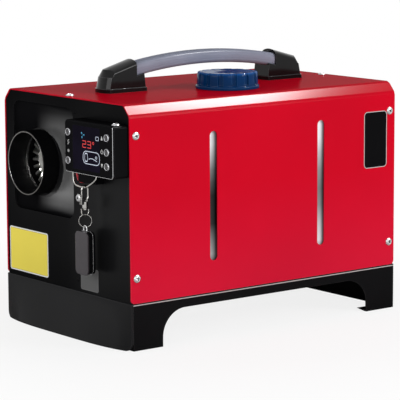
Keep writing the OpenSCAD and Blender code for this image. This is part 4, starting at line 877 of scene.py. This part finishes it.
# %% [markdown]
# ## Screws
# One screw head is modelled with its cross recess, and a node tree sets a copy on every seat. The
# seats are points that carry a direction, and the tree gives each screw its own turn from a fixed
# seed, because no one aligns the slots of screws.

# %% Model one screw head
HEAD_R, HEAD_H, THREAD_R, THREAD_L = 4.75, 2.2, 2.0, 6.0
SLOT_HALF, SLOT_W, SLOT_DEEP = 2.3, 0.62, 1.1
HEAD_ROWS, SPOKES = 16, 48


def recess(x, y):
    depth = [max(0.0, 1 - (abs(a) / SLOT_HALF) ** 6) * max(0.0, 1 - (abs(b) / SLOT_W) ** 4)
             for a, b in ((x, y), (y, x))]
    return SLOT_DEEP * max(depth)


def head_ring(bm, r, height):
    return [bm.verts.new((x * MM, y * MM, height(x, y) * MM))
            for x, y in arc(0, 0, r, 0, 360, SPOKES)[:-1]]


def dome(r):
    return lambda x, y: max(0.2, HEAD_H * (1 - (r / HEAD_R) ** 2.6) ** 0.55 - recess(x, y))


bm = bmesh.new()
rings = [[bm.verts.new((0, 0, (HEAD_H - recess(0, 0)) * MM))]]
rings += [head_ring(bm, r, dome(r))
          for r in [HEAD_R * math.sin(math.radians(90 * j / HEAD_ROWS)) for j in range(1, HEAD_ROWS)]]
for r, h in ((HEAD_R, 0.25), (HEAD_R, 0.0), (THREAD_R, 0.0), (THREAD_R, -THREAD_L)):
    rings.append(head_ring(bm, r, lambda x, y: h))
skin(bm, *rings)
bm.faces.new(rings[-1])
screw_mesh = smooth(mesh_of(bm, "screw"), 50)
deep = screw_mesh.attributes.new("deep", "FLOAT", "FACE")
for face in screw_mesh.polygons:
    x, y, z = face.center / MM
    deep.data[face.index].value = float(recess(x, y) > 0.25 and z > 0)
print("one screw:", len(screw_mesh.polygons), "faces")

# %% Find the seats
SIDE, TOP, STAND_TOP = CASE_W / 2, CASE_H, 56.5
BOTH = (-1, 1)
seats = [((s * SIDE, y, z), (0, 90 * s, 0))
         for s in BOTH for y in (8.5, CASE_L - 8.5) for z in (83, 245)]
seats += [((0, y, TOP), (0, 0, 0)) for y in (7.5, CASE_L - 7.5)]
seats += [((s * (SIDE - 9), y, 54.5), (0, 0, 0)) for s in BOTH for y in (30, 250, CASE_L - 30)]
seats += [((s * 60, 10, 56), (0, 0, 0)) for s in BOTH]
seats += [((DUCT_X + s * 40, y, STAND_TOP), (0, 0, 0)) for s in BOTH for y in (90, 194)]
seats += [((x, 286, STAND_TOP), (0, 0, 0)) for x in (-64, -49)]
seats += [((0, y, TOP - 1.5), (180, 0, 0)) for y in (64, 91, CASE_L - 64, CASE_L - 91)]
seats += [((PAN_SCREW_X, 1, PAN_SCREW_Z), (90, 0, 0)), ((118, -12, 258), (0, 0, 0))]
print(len(seats), "seats")

# %% Tree that sets the screws
tree, given = new_tree("screws", Screw="Object", Seed="Int")
facing = add(tree, "GeometryNodeInputNamedAttribute", {"Name": "facing"}, data_type="FLOAT_VECTOR")
seat_turn = add(tree, "FunctionNodeEulerToRotation", {0: facing.outputs["Attribute"]})
spin = add(tree, "FunctionNodeRandomValue", {2: 0.0, 3: math.pi / 2, "Seed": given["Seed"]},
           data_type="FLOAT")
spin_turn = add(tree, "FunctionNodeEulerToRotation", {
    0: add(tree, "ShaderNodeCombineXYZ", {"Z": spin.outputs[1]}).outputs[0]})
both = add(tree, "FunctionNodeRotateRotation", {0: seat_turn.outputs[0], 1: spin_turn.outputs[0]},
           rotation_space="LOCAL")
part = add(tree, "GeometryNodeObjectInfo", {"Object": given["Screw"]})
set_screws = add(tree, "GeometryNodeInstanceOnPoints", {
    "Points": given["Geometry"], "Instance": part.outputs["Geometry"], "Rotation": both.outputs[0]})
close_tree(tree, given, set_screws.outputs["Instances"])
print("screw tree:", len(tree.nodes), "nodes")

# %% Set the screws
def paint_faces(mesh, look, pick):
    mesh.materials.append(look)
    for face in mesh.polygons:
        if pick(face):
            face.material_index = len(mesh.materials) - 1


points = bpy.data.meshes.new("seats")
points.from_pydata([spot(*p) for p, _ in seats], [], [])
facing_data = points.attributes.new("facing", "FLOAT_VECTOR", "POINT")
for i, (_, turn_deg) in enumerate(seats):
    facing_data.data[i].vector = [math.radians(v) for v in turn_deg]
pattern = put("screw_pattern", screw_mesh)
screws = grow("screws", points, tree, {"Screw": pattern, "Seed": 7, "Finish": finishes["screw_steel"]})
bpy.data.objects.remove(pattern)
deep = screws.attributes["deep"].data
# Painted shade: the faces deep in each screw's cross recess get a dark finish.
paint_faces(screws, finishes["painted_recess_shade"], lambda f: deep[f.index].value > 0.5)
finished("screw_heads", screws, "pan_screws")

# %% [markdown]
# ## Fuel cap
# The cap is a turned shape with finger flutes pressed into its side: the rule is "turn the profile,
# then pull the side in at equal angles". The profile is turned first, and a tree moves its points
# inwards by a wave of the angle, faded out at the lower rim. The inside of the cap stays put.

# %% Cap with flutes
CAP_R, CAP_TOP_R, FLUTES, FLUTE_DEEP = 38.0, 36.3, 14, 2.3
cap_low, cap_mid, (_, _, CAP_H) = measure("fuel_cap")
cap_place = Vector((cap_mid.x, cap_mid.y, cap_low.z))
cap_profile = [(0, CAP_H - 0.3), (16, CAP_H - 0.3), (28, CAP_H - 0.25), (CAP_TOP_R - 4.0, CAP_H)] \
    + arc(CAP_TOP_R - 2.2, CAP_H - 1.8, 1.8, 85, 5, 6) \
    + [(CAP_TOP_R - 0.1 + 0.05 * k, CAP_H - 3.2 - k * (CAP_H - 6.8) / 10) for k in range(11)] \
    + [(CAP_TOP_R + 0.6, 3.0), (CAP_TOP_R + 1.2, 2.5)] + arc(CAP_R - 0.5, 1.7, 0.5, 80, 0, 4) \
    + [(CAP_R, -0.6), (CAP_R - 0.4, -1.0), (31.5, -1.0), (31.5, 0.2), (28.3, 0.2), (28.3, CAP_H - 4),
       (0, CAP_H - 4)]
cap_base = turned("cap", cap_profile, cap_place, ALONG_Z, 420, closed=False)

tree, given = new_tree("flutes", Flutes="Float", Depth="Float", Axis="Vector", Low="Float",
                       High="Float", Inner="Float")
from_axis = vec(tree, "SUBTRACT", add(tree, "GeometryNodeInputPosition").outputs[0], given["Axis"])
x, y, z = add(tree, "ShaderNodeSeparateXYZ", {0: from_axis}).outputs
level = add(tree, "ShaderNodeCombineXYZ", {"X": x, "Y": y}).outputs[0]
wave = num(tree, "COSINE", num(tree, "MULTIPLY", num(tree, "ARCTAN2", y, x), given["Flutes"]))
pressed = span(tree, wave, 0.36, 0.58, interpolation_type="SMOOTHSTEP")
above_rim = span(tree, z, given["Low"], given["High"], interpolation_type="SMOOTHSTEP")
outside = num(tree, "GREATER_THAN", vec(tree, "LENGTH", level), given["Inner"])
amount = num(tree, "MULTIPLY", num(tree, "MULTIPLY", pressed, above_rim), outside)
inwards = num(tree, "MULTIPLY", num(tree, "MULTIPLY", amount, given["Depth"]), -1.0)
shift = add(tree, "ShaderNodeVectorMath", {0: vec(tree, "NORMALIZE", level), "Scale": inwards},
            operation="SCALE")
move = add(tree, "GeometryNodeSetPosition", {"Geometry": given["Geometry"], "Offset": shift.outputs[0]})
close_tree(tree, given, move.outputs["Geometry"])
cap_mesh = grow("cap", cap_base, tree, {
    "Flutes": float(FLUTES), "Depth": FLUTE_DEEP * MM, "Axis": cap_place, "Low": 2.6 * MM,
    "High": 4.2 * MM, "Inner": 30 * MM, "Finish": finishes["cap_blue"]})
finished("cap_moulding", smooth(cap_mesh, 40), "fuel_cap")

# %% [markdown]
# ## Front apron
# The apron is one smooth moulding. Its solid is made of flat strips, so this piece draws the same
# curve with many more of them, and rounds its lower corners.

# %% Apron
APRON_T, APRON_BOW, APRON_TOP, APRON_CORNER = 3.0, 11.0, BASE_H - 0.3, 9
APRON_COLS, APRON_ROWS = 96, 32


def apron_grid(bm, back):
    grid = []
    for j in range(APRON_ROWS + 1):
        row = []
        for i in range(APRON_COLS + 1):
            s = i / APRON_COLS * 2 - 1
            x = SIDE * math.sin(s * math.pi / 2) * 0.35 + SIDE * s * 0.65
            past = max(0, abs(x) - (SIDE - APRON_CORNER))
            low = APRON_CORNER - math.sqrt(max(0, APRON_CORNER ** 2 - past ** 2))
            z = low + (APRON_TOP - low) * j / APRON_ROWS
            bow = -APRON_BOW * (1 - (abs(x) / SIDE) ** 4) * (1 - z / BASE_H) ** 1.6
            row.append(bm.verts.new(spot(x, bow + back, z)))
        grid.append(row)
    for lower, upper in zip(grid, grid[1:]):
        for i in range(APRON_COLS):
            bm.faces.new((lower[i], lower[i + 1], upper[i + 1], upper[i]))
    right_side, left_side = [row[-1] for row in grid[1:-1]], [row[0] for row in grid[-2:0:-1]]
    return grid[0] + right_side + grid[-1][::-1] + left_side


bm = bmesh.new()
skin(bm, apron_grid(bm, 0), apron_grid(bm, APRON_T))
apron_mesh = bevelled(mesh_of(bm, "apron"), 0.0008, 2, 50)
finished("apron_moulding", smooth(apron_mesh, 50), "front_apron")

# %% [markdown]
# ## Intake guard
# The guard at the back is made of rings and spokes of one wire. The tree draws circles at even steps
# and lines from the hub to the rim, then sweeps one section along all of them.

# %% Tree for the guard
tree, given = new_tree("guard", Rings="Int", Spokes="Int", Inner="Float", Step="Float", Outer="Float",
                       Wire="Float")
index = add(tree, "GeometryNodeInputIndex").outputs[0]


def repeated(count, curve, **feeds):
    line = add(tree, "GeometryNodeMeshLine", {"Count": count, "Offset": (0, 0, 0)})
    copies = add(tree, "GeometryNodeInstanceOnPoints", {
        "Points": line.outputs["Mesh"], "Instance": curve.outputs["Curve"], **feeds})
    return copies.outputs["Instances"]


one_ring = add(tree, "GeometryNodeCurvePrimitiveCircle", {"Resolution": 96, "Radius": 1.0})
all_rings = repeated(given["Rings"], one_ring,
                     Scale=num(tree, "MULTIPLY_ADD", index, given["Step"], given["Inner"]))
one_spoke = add(tree, "GeometryNodeCurvePrimitiveLine", {
    "Start": (0.008, 0, 0), "End": add(tree, "ShaderNodeCombineXYZ", {"X": given["Outer"]}).outputs[0]})
spoke_angle = num(tree, "MULTIPLY", index, num(tree, "DIVIDE", 2 * math.pi, given["Spokes"]))
spoke_turn = add(tree, "FunctionNodeEulerToRotation", {
    0: add(tree, "ShaderNodeCombineXYZ", {"Z": spoke_angle}).outputs[0]})
all_spokes = repeated(given["Spokes"], one_spoke, Rotation=spoke_turn.outputs[0])
all_wires = add(tree, "GeometryNodeJoinGeometry")
for wires in (all_rings, all_spokes):
    tree.links.new(wires, all_wires.inputs[0])
real_wires = add(tree, "GeometryNodeRealizeInstances", {0: all_wires.outputs[0]})
wire_section = add(tree, "GeometryNodeCurvePrimitiveCircle", {
    "Resolution": 10, "Radius": given["Wire"]})
swept = add(tree, "GeometryNodeCurveToMesh", {
    "Curve": real_wires.outputs[0], "Profile Curve": wire_section.outputs["Curve"], "Fill Caps": True})
close_tree(tree, given, swept.outputs["Mesh"])
print("guard tree:", len(tree.nodes), "nodes")

# %% Intake guard
def joined(name, meshes):
    bm = bmesh.new()
    for mesh in meshes:
        bm.from_mesh(mesh)
    return mesh_of(bm, name, turn_out=False)


grid = grow("guard_grid", bpy.data.meshes.new("guard_base"), tree, {
    "Rings": 5, "Spokes": 12, "Inner": 14 * MM, "Step": 6 * MM, "Outer": 43.5 * MM, "Wire": 1.0 * MM,
    "Finish": finishes["duct_black"]})
grid.transform(Matrix.Translation(spot(DUCT_X, CASE_L + 3.2, DUCT_Z))
               @ Matrix.Rotation(math.radians(-90), 4, "X"))
guard_low, _, (guard_w, _, _) = measure("intake_guard")
flange = guard_w / 2
rim = [(43.7, 0), (43.7, 2), (43.0, 2.6), (43.0, 6.6)] + arc(43.6, 6.6, 0.6, 180, 90, 3) \
    + arc(45.2, 6.4, 0.8, 90, 0, 3) + [(46.2, 3.9)] + arc(flange - 0.6, 2.9, 0.6, 90, 0, 3) \
    + [(flange, 1.5), (45.7, 1.5), (45.7, 0)]
hub = [(0, 3.5), (10, 3.5), (10, 6.2)] + arc(9.2, 6.2, 0.8, 0, 90, 3) + [(0, 7.0)]
guard_place = Vector((DUCT_X * MM, guard_low.y, DUCT_Z * MM))
guard_mesh = joined("guard", (grid, turned("guard_rim", rim, guard_place, ALONG_Y, 120),
                              turned("guard_hub", hub, guard_place, ALONG_Y, 48, closed=False)))
finished("guard_moulding", smooth(guard_mesh, 40), "intake_guard", look=finishes["duct_black"])

# %% [markdown]
# ## Controller
# The controller is a black box with a glossy face, a shallow window over the display, and five bright
# keys. The box and the face only need rounder edges. A bright line runs along the lower and the right
# edge of the face.

# %% Controller box and face
finished("controller_box", rounded("controller_housing", 0.0005), "controller_housing")
finished("controller_front", rounded("controller_face", 0.0004), "controller_face")
face_low, _, (CTRL_W, _, CTRL_H) = measure("controller_face")
FACE_Y = (face_low.y - FRONT) / MM
trim = [spot(x, FACE_Y + 0.75, z) for x, z in rounded_outline(
    CTRL_W - 0.9, CTRL_H - 0.9, 3.5, 8, CTRL_LEFT + CTRL_W / 2, CTRL_LOW + CTRL_H / 2)]
corner = len(trim) // 4
trim = trim[2 * corner + corner // 2:] + trim[:corner // 2]
extra("controller_trim", wire("controller_trim", trim, 0.34, "remote_trim", 10), "remote_trim")

# %% [markdown]
# A flat plate serves for the display's glass, its marks and every sticker. `plate` draws an outline
# on a plane, gives it a thickness, and keeps the outline's own coordinates as a UV map, so that a
# border in the finish can follow the edge.

# %% Flat plates
UV_SCALE = 0.01


def plate(name, place, outlines, thickness, right=(1, 0, 0)):
    right, up = Vector(right), Vector(ALONG_Z)
    normal = right.cross(up)
    bm = bmesh.new()
    uv_layer = bm.loops.layers.uv.new("UVMap")
    for outline in outlines:
        low, high = [[bm.verts.new(place + (right * u + up * v + normal * t) * MM) for u, v in outline]
                     for t in (0, thickness)]
        bm.faces.new(high)
        bm.faces.new(low[::-1])
        skin(bm, low, high)
    for face in bm.faces:
        for loop in face.loops:
            off = (loop.vert.co - place) / MM
            loop[uv_layer].uv = (0.5 + off.dot(right) * UV_SCALE, 0.5 + off.dot(up) * UV_SCALE)
    return mesh_of(bm, name)


def strip(outer, inner):
    return [[outer[k], outer[k + 1], inner[k + 1], inner[k]] for k in range(len(outer) - 1)]


def ring_outline(cx, cz, r, t, start=0, end=360, steps=28):
    return strip(arc(cx, cz, r, start, end, steps), arc(cx, cz, r - t, start, end, steps))


def frame_outline(w, h, r, t, cx, cz):
    outer = rounded_outline(w, h, r, 6, cx, cz)
    inner = rounded_outline(w - 2 * t, h - 2 * t, r - t, 6, cx, cz)
    return strip(outer + outer[:1], inner + inner[:1])


def box_outline(x, z, w, h):
    return [(x, z), (x + w, z), (x + w, z + h), (x, z + h)]


print("plates ready")

# %% [markdown]
# The display is a sheet of dark glass with a faint violet tint, set flush in the window. Its marks
# light up: a temperature in seven-segment digits and a few plain symbols. They are thin plates just
# above the glass.

# %% Display glass
GLASS_W, GLASS_H = 53.0, 50.0
glass_look = finish("display_glass", (0.005, 0.0036, 0.0105), 0.1, tone=0.25, patches=40,
                    relief=0.02, coat=0.05, haze=0.1)
glass_place = spot(CTRL_LEFT + 16 + GLASS_W / 2, FACE_Y + 0.38, CTRL_LOW + 5 + GLASS_H / 2)
glass = plate("display", glass_place, [rounded_outline(GLASS_W - 0.2, GLASS_H - 0.2, 1.0)], 0.3)
extra("display_glass", glass, "face_gloss", glass_look)

# %% Seven-segment digits and symbols
SEGMENTS = {"2": "abged", "3": "abgcd"}
SEGMENT_GAP, MARK_T = 0.18, 0.12
DIGIT_W, DIGIT_H, STROKE, DIGIT_Z = 7.4, 8.6, 1.3, 228.7
mark_place = spot(0, FACE_Y + 0.1, 0)


def digit(character, x, z=DIGIT_Z, w=DIGIT_W, h=DIGIT_H, t=STROKE):
    half = h / 2
    boxes = {"a": (x, z + h - t, w, t), "g": (x, z + half - t / 2, w, t), "d": (x, z, w, t),
             "b": (x + w - t, z + half, t, half), "c": (x + w - t, z, t, half), "e": (x, z, t, half)}
    g = SEGMENT_GAP
    return [box_outline(bx + g, bz + g, bw - 2 * g, bh - 2 * g)
            for bx, bz, bw, bh in [boxes[key] for key in SEGMENTS[character]]]


def shown(name, outlines, look, colour, strength):
    mat = finish(look, [c * 0.4 for c in colour], 0.3, relief=0.02)
    feed(mat.node_tree, mat.node_tree.nodes["Principled BSDF"], {
        "Emission Color": (*colour, 1), "Emission Strength": strength})
    extra(name, plate(name, mark_place, outlines, MARK_T), "face_gloss", mat)


shown("display_digits", digit("2", 66.7) + digit("3", 76.6) + ring_outline(88.0, 235.4, 1.7, 0.8),
      "display_red", (0.62, 0.012, 0.012), 0.75)
blades = [[(67.2 + r * math.cos(a + b), 243 + r * math.sin(a + b))
           for r, b in ((0.6, 0), (3.6, -0.5), (3.9, 0.1))] for a in (0.3, 2.4, 4.5)]
shown("display_mode_mark", blades, "display_cyan", (0.03, 0.3, 0.5), 0.7)
MARK_X, MARK_Z, WAVE_Z = 84, 218.2, 216.8
symbols = frame_outline(33, 15, 6.5, 0.8, MARK_X, MARK_Z) + frame_outline(6, 4.6, 1.2, 0.6, 95.8, 241.3)
symbols += [[(74.0 + (u - MARK_X) * 0.32, MARK_Z + (v - MARK_Z) * 0.8) for u, v in part]
            for part in frame_outline(20, 13, 6.4, 1.6, MARK_X, MARK_Z)]
wave_line = [(79 + 4 * k, WAVE_Z + 1.2 * math.sin(1.1 * k)) for k in range(5)]
symbols += strip(*[[(u, v + lift) for u, v in wave_line] for lift in (-0.5, 0.3)])
symbols += frame_outline(3.4, 3.0, 1.0, 0.6, 93.5, 219.5)
shown("display_symbols", symbols, "display_white", (0.55, 0.6, 0.72), 0.7)

# %% [markdown]
# Every key is a small turned button: a bright rim, a groove, and a dark glossy dome in the middle.

# %% Keys
KEY_R, DOME_R = 4.5, 3.28
for name in ("key_up", "key_power", "key_down", "key_mode", "key_settings"):
    low, mid, (_, key_deep, _) = measure(name)
    key_profile = [(0, 0.1), (1.2, 0.14), (2.2, 0.32), (2.9, 0.62), (3.25, 0.75), (3.3, 0.35)] \
        + arc(3.75, 0.35, 0.35, 200, 340, 5) \
        + [(KEY_R - 0.15, 0.8), (KEY_R, 1.3), (KEY_R, key_deep - 2.0), (0, key_deep - 2.0)]
    centre = Vector((mid.x, low.y, mid.z))
    key_mesh = smooth(turned(name, key_profile, centre, ALONG_Y, 64, closed=False), 50)
    key_mesh.materials.append(finishes["key_silver"])
    paint_faces(key_mesh, finishes["key_dish"], lambda f: f.center.y < low.y + MM and math.hypot(
        f.center.x - centre.x, f.center.z - centre.z) < DOME_R * MM)
    finished(name + "_cap", key_mesh, name)

# %% Marks beside the keys
PRINT_X = 104.6
marks = [[(PRINT_X - 1.9, 240.6), (PRINT_X + 1.9, 240.6), (PRINT_X, 245.6)],
         [(PRINT_X - 1.9, 214.0), (PRINT_X, 209.6), (PRINT_X + 1.9, 214.0)]]
marks += ring_outline(PRINT_X, 227.4, 2.3, 0.75, 125, 415)
marks += [box_outline(PRINT_X - 0.4, 227.6, 0.8, 2.8)]
marks += ring_outline(39.6, 233.4, 1.9, 0.8, 60, 330)
marks += [[(39.4, 232.2), (40.2, 232.2), (38.2, 229.4), (37.4, 229.9)]]
marks += ring_outline(39.0, 222.6, 1.7, 0.6) + [box_outline(38.2, 222.2, 1.6, 0.8)]
extra("key_marks", plate("key_marks", spot(0, FACE_Y, 0), marks, 0.04), "face_gloss",
      finish("pale_print", (0.62, 0.62, 0.62), 0.4, relief=0.05))

# %% [markdown]
# ## Remote
# The remote is a small glossy box in a bright frame, with a cover that slides over its two keys. All
# of it has small, soft edges.

# %% Remote
for name, node, edge in (
        ("remote_body", "remote_case", (0.0004, 3)),
        ("remote_bright_frame", "remote_frame", (0.0002, 2, 40)),
        ("remote_slide_cover", "remote_cover", (0.0006, 4)),
        ("remote_key_on_cap", "remote_key_on", (0.0004, 3)),
        ("remote_key_off_cap", "remote_key_off", (0.0004, 3))):
    finished(name, rounded(node, *edge), node)

# %% [markdown]
# ## Lead and gland
# The controller's lead follows the same points as its solid, but as a smooth round tube. The gland for
# the power cable only needs rounder edges.

# %% Controller lead and cable gland
LEAD_X, LEAD_Z, CHANNEL_X, LOOM_Y = CTRL_LEFT + 4.5, 184.0, (DUCT_X + 55 - 5.5) / 2, 310.0
lead = [(LEAD_X, -8, 199), (LEAD_X, -8, 193), (LEAD_X, -5, LEAD_Z + 2), (LEAD_X, 1, LEAD_Z),
        (LEAD_X, 7.5, LEAD_Z), (LEAD_X - 3, 13.5, 170), (LEAD_X - 8, 15.5, 137),
        (LEAD_X - 20, 15.5, 119), (CHANNEL_X + 16, 14.5, 119), (CHANNEL_X, 26, 131),
        (CHANNEL_X, 62, 137), (CHANNEL_X, LOOM_Y - 40, 137), (CHANNEL_X, LOOM_Y - 12, 147),
        (CHANNEL_X, LOOM_Y + 4, 153)]
finished("red_lead", wire("lead", curve_through(lead, 10), 1.6, "lead_red", 18), "controller_lead")
finished("gland_moulding", rounded("cable_gland", 0.0004), "cable_gland")

# %% [markdown]
# ## Stickers
# Stickers are thin printed plates. Their borders come from the finish: the distance from the rounded
# edge picks the border, a fine line, or the field.

# %% Finish with a border that follows the edge
def sticker_look(name, w, h, r, field, border, line, border_w, line_w):
    mat = finish(name, field, 0.35, tone=0.04, relief=0.06, grain=700, edge=0, coat=0.04)
    tree = mat.node_tree
    base = tree.nodes["Principled BSDF"].inputs["Base Color"]
    uv = add(tree, "ShaderNodeUVMap", uv_map="UVMap").outputs[0]
    from_middle = vec(tree, "ABSOLUTE", vec(tree, "SUBTRACT", uv, (0.5, 0.5, 0)))
    past = vec(tree, "SUBTRACT", from_middle,
               ((w / 2 - r) * UV_SCALE, (h / 2 - r) * UV_SCALE, 0))
    off_corner = vec(tree, "LENGTH", vec(tree, "MAXIMUM", past, (0, 0, 0)))
    inside = span(tree, off_corner, r * UV_SCALE, 0.0)
    pick = add(tree, "ShaderNodeValToRGB", {"Fac": inside})
    pick.color_ramp.interpolation = "CONSTANT"
    for stop, at, colour in zip(pick.color_ramp.elements, (0.0, border_w / r), (border, line)):
        stop.position = at
        stop.color = (*colour, 1)
    in_field = num(tree, "GREATER_THAN", inside, (border_w + line_w) / r)
    tree.links.new(mixed(tree, in_field, pick.outputs["Color"], base.links[0].from_socket), base)
    return mat


print("border finish ready")

# %% Stickers
BLACK, GREY = (0.0035, 0.0035, 0.004), (0.12, 0.12, 0.12)
for name, look, (w, h, r), place, right, thick, colours, widths in (
        ("front_sticker", "sticker_yellow", (81.9, 53, 3), (-81.05, 1.0, 86.5), (1, 0, 0), 0.15,
         ((0.86, 0.72, 0.11), (0.8, 0.8, 0.79), (0.2, 0.16, 0.03)), (1.4, 0.3)),
        ("side_sticker", "sticker_black", (37, 69, 5), (SIDE, 368.5, 211.5), ALONG_Y, 0.15,
         (BLACK, (0.42, 0.42, 0.42), BLACK), (0.9, 0.4)),
        ("small_sticker", "sticker_grey", (35.2, 26.5, 2.5), (44.9, 1.0, 70.75), (1, 0, 0), 0.12,
         (GREY, (0.17, 0.17, 0.17), GREY), (0.6, 0.3))):
    extra(name, plate(name, spot(*place), [rounded_outline(w, h, r)], thick, right), "panel_black",
          sticker_look(look, w, h, r, *colours, *widths))

# %% Two black rivets in the front panel
rivet = [(0, -1.1), (1.2, -0.95), (2.0, -0.5), (2.3, 0), (0, 0)]
rivets = joined("rivets", [turned("rivet", rivet, spot(x, 1.0, z), ALONG_Y, 24, closed=False)
                           for x, z in ((21.5, 67.6), (18.1, 262.5))])
extra("front_rivets", smooth(rivets, 60), "panel_black")
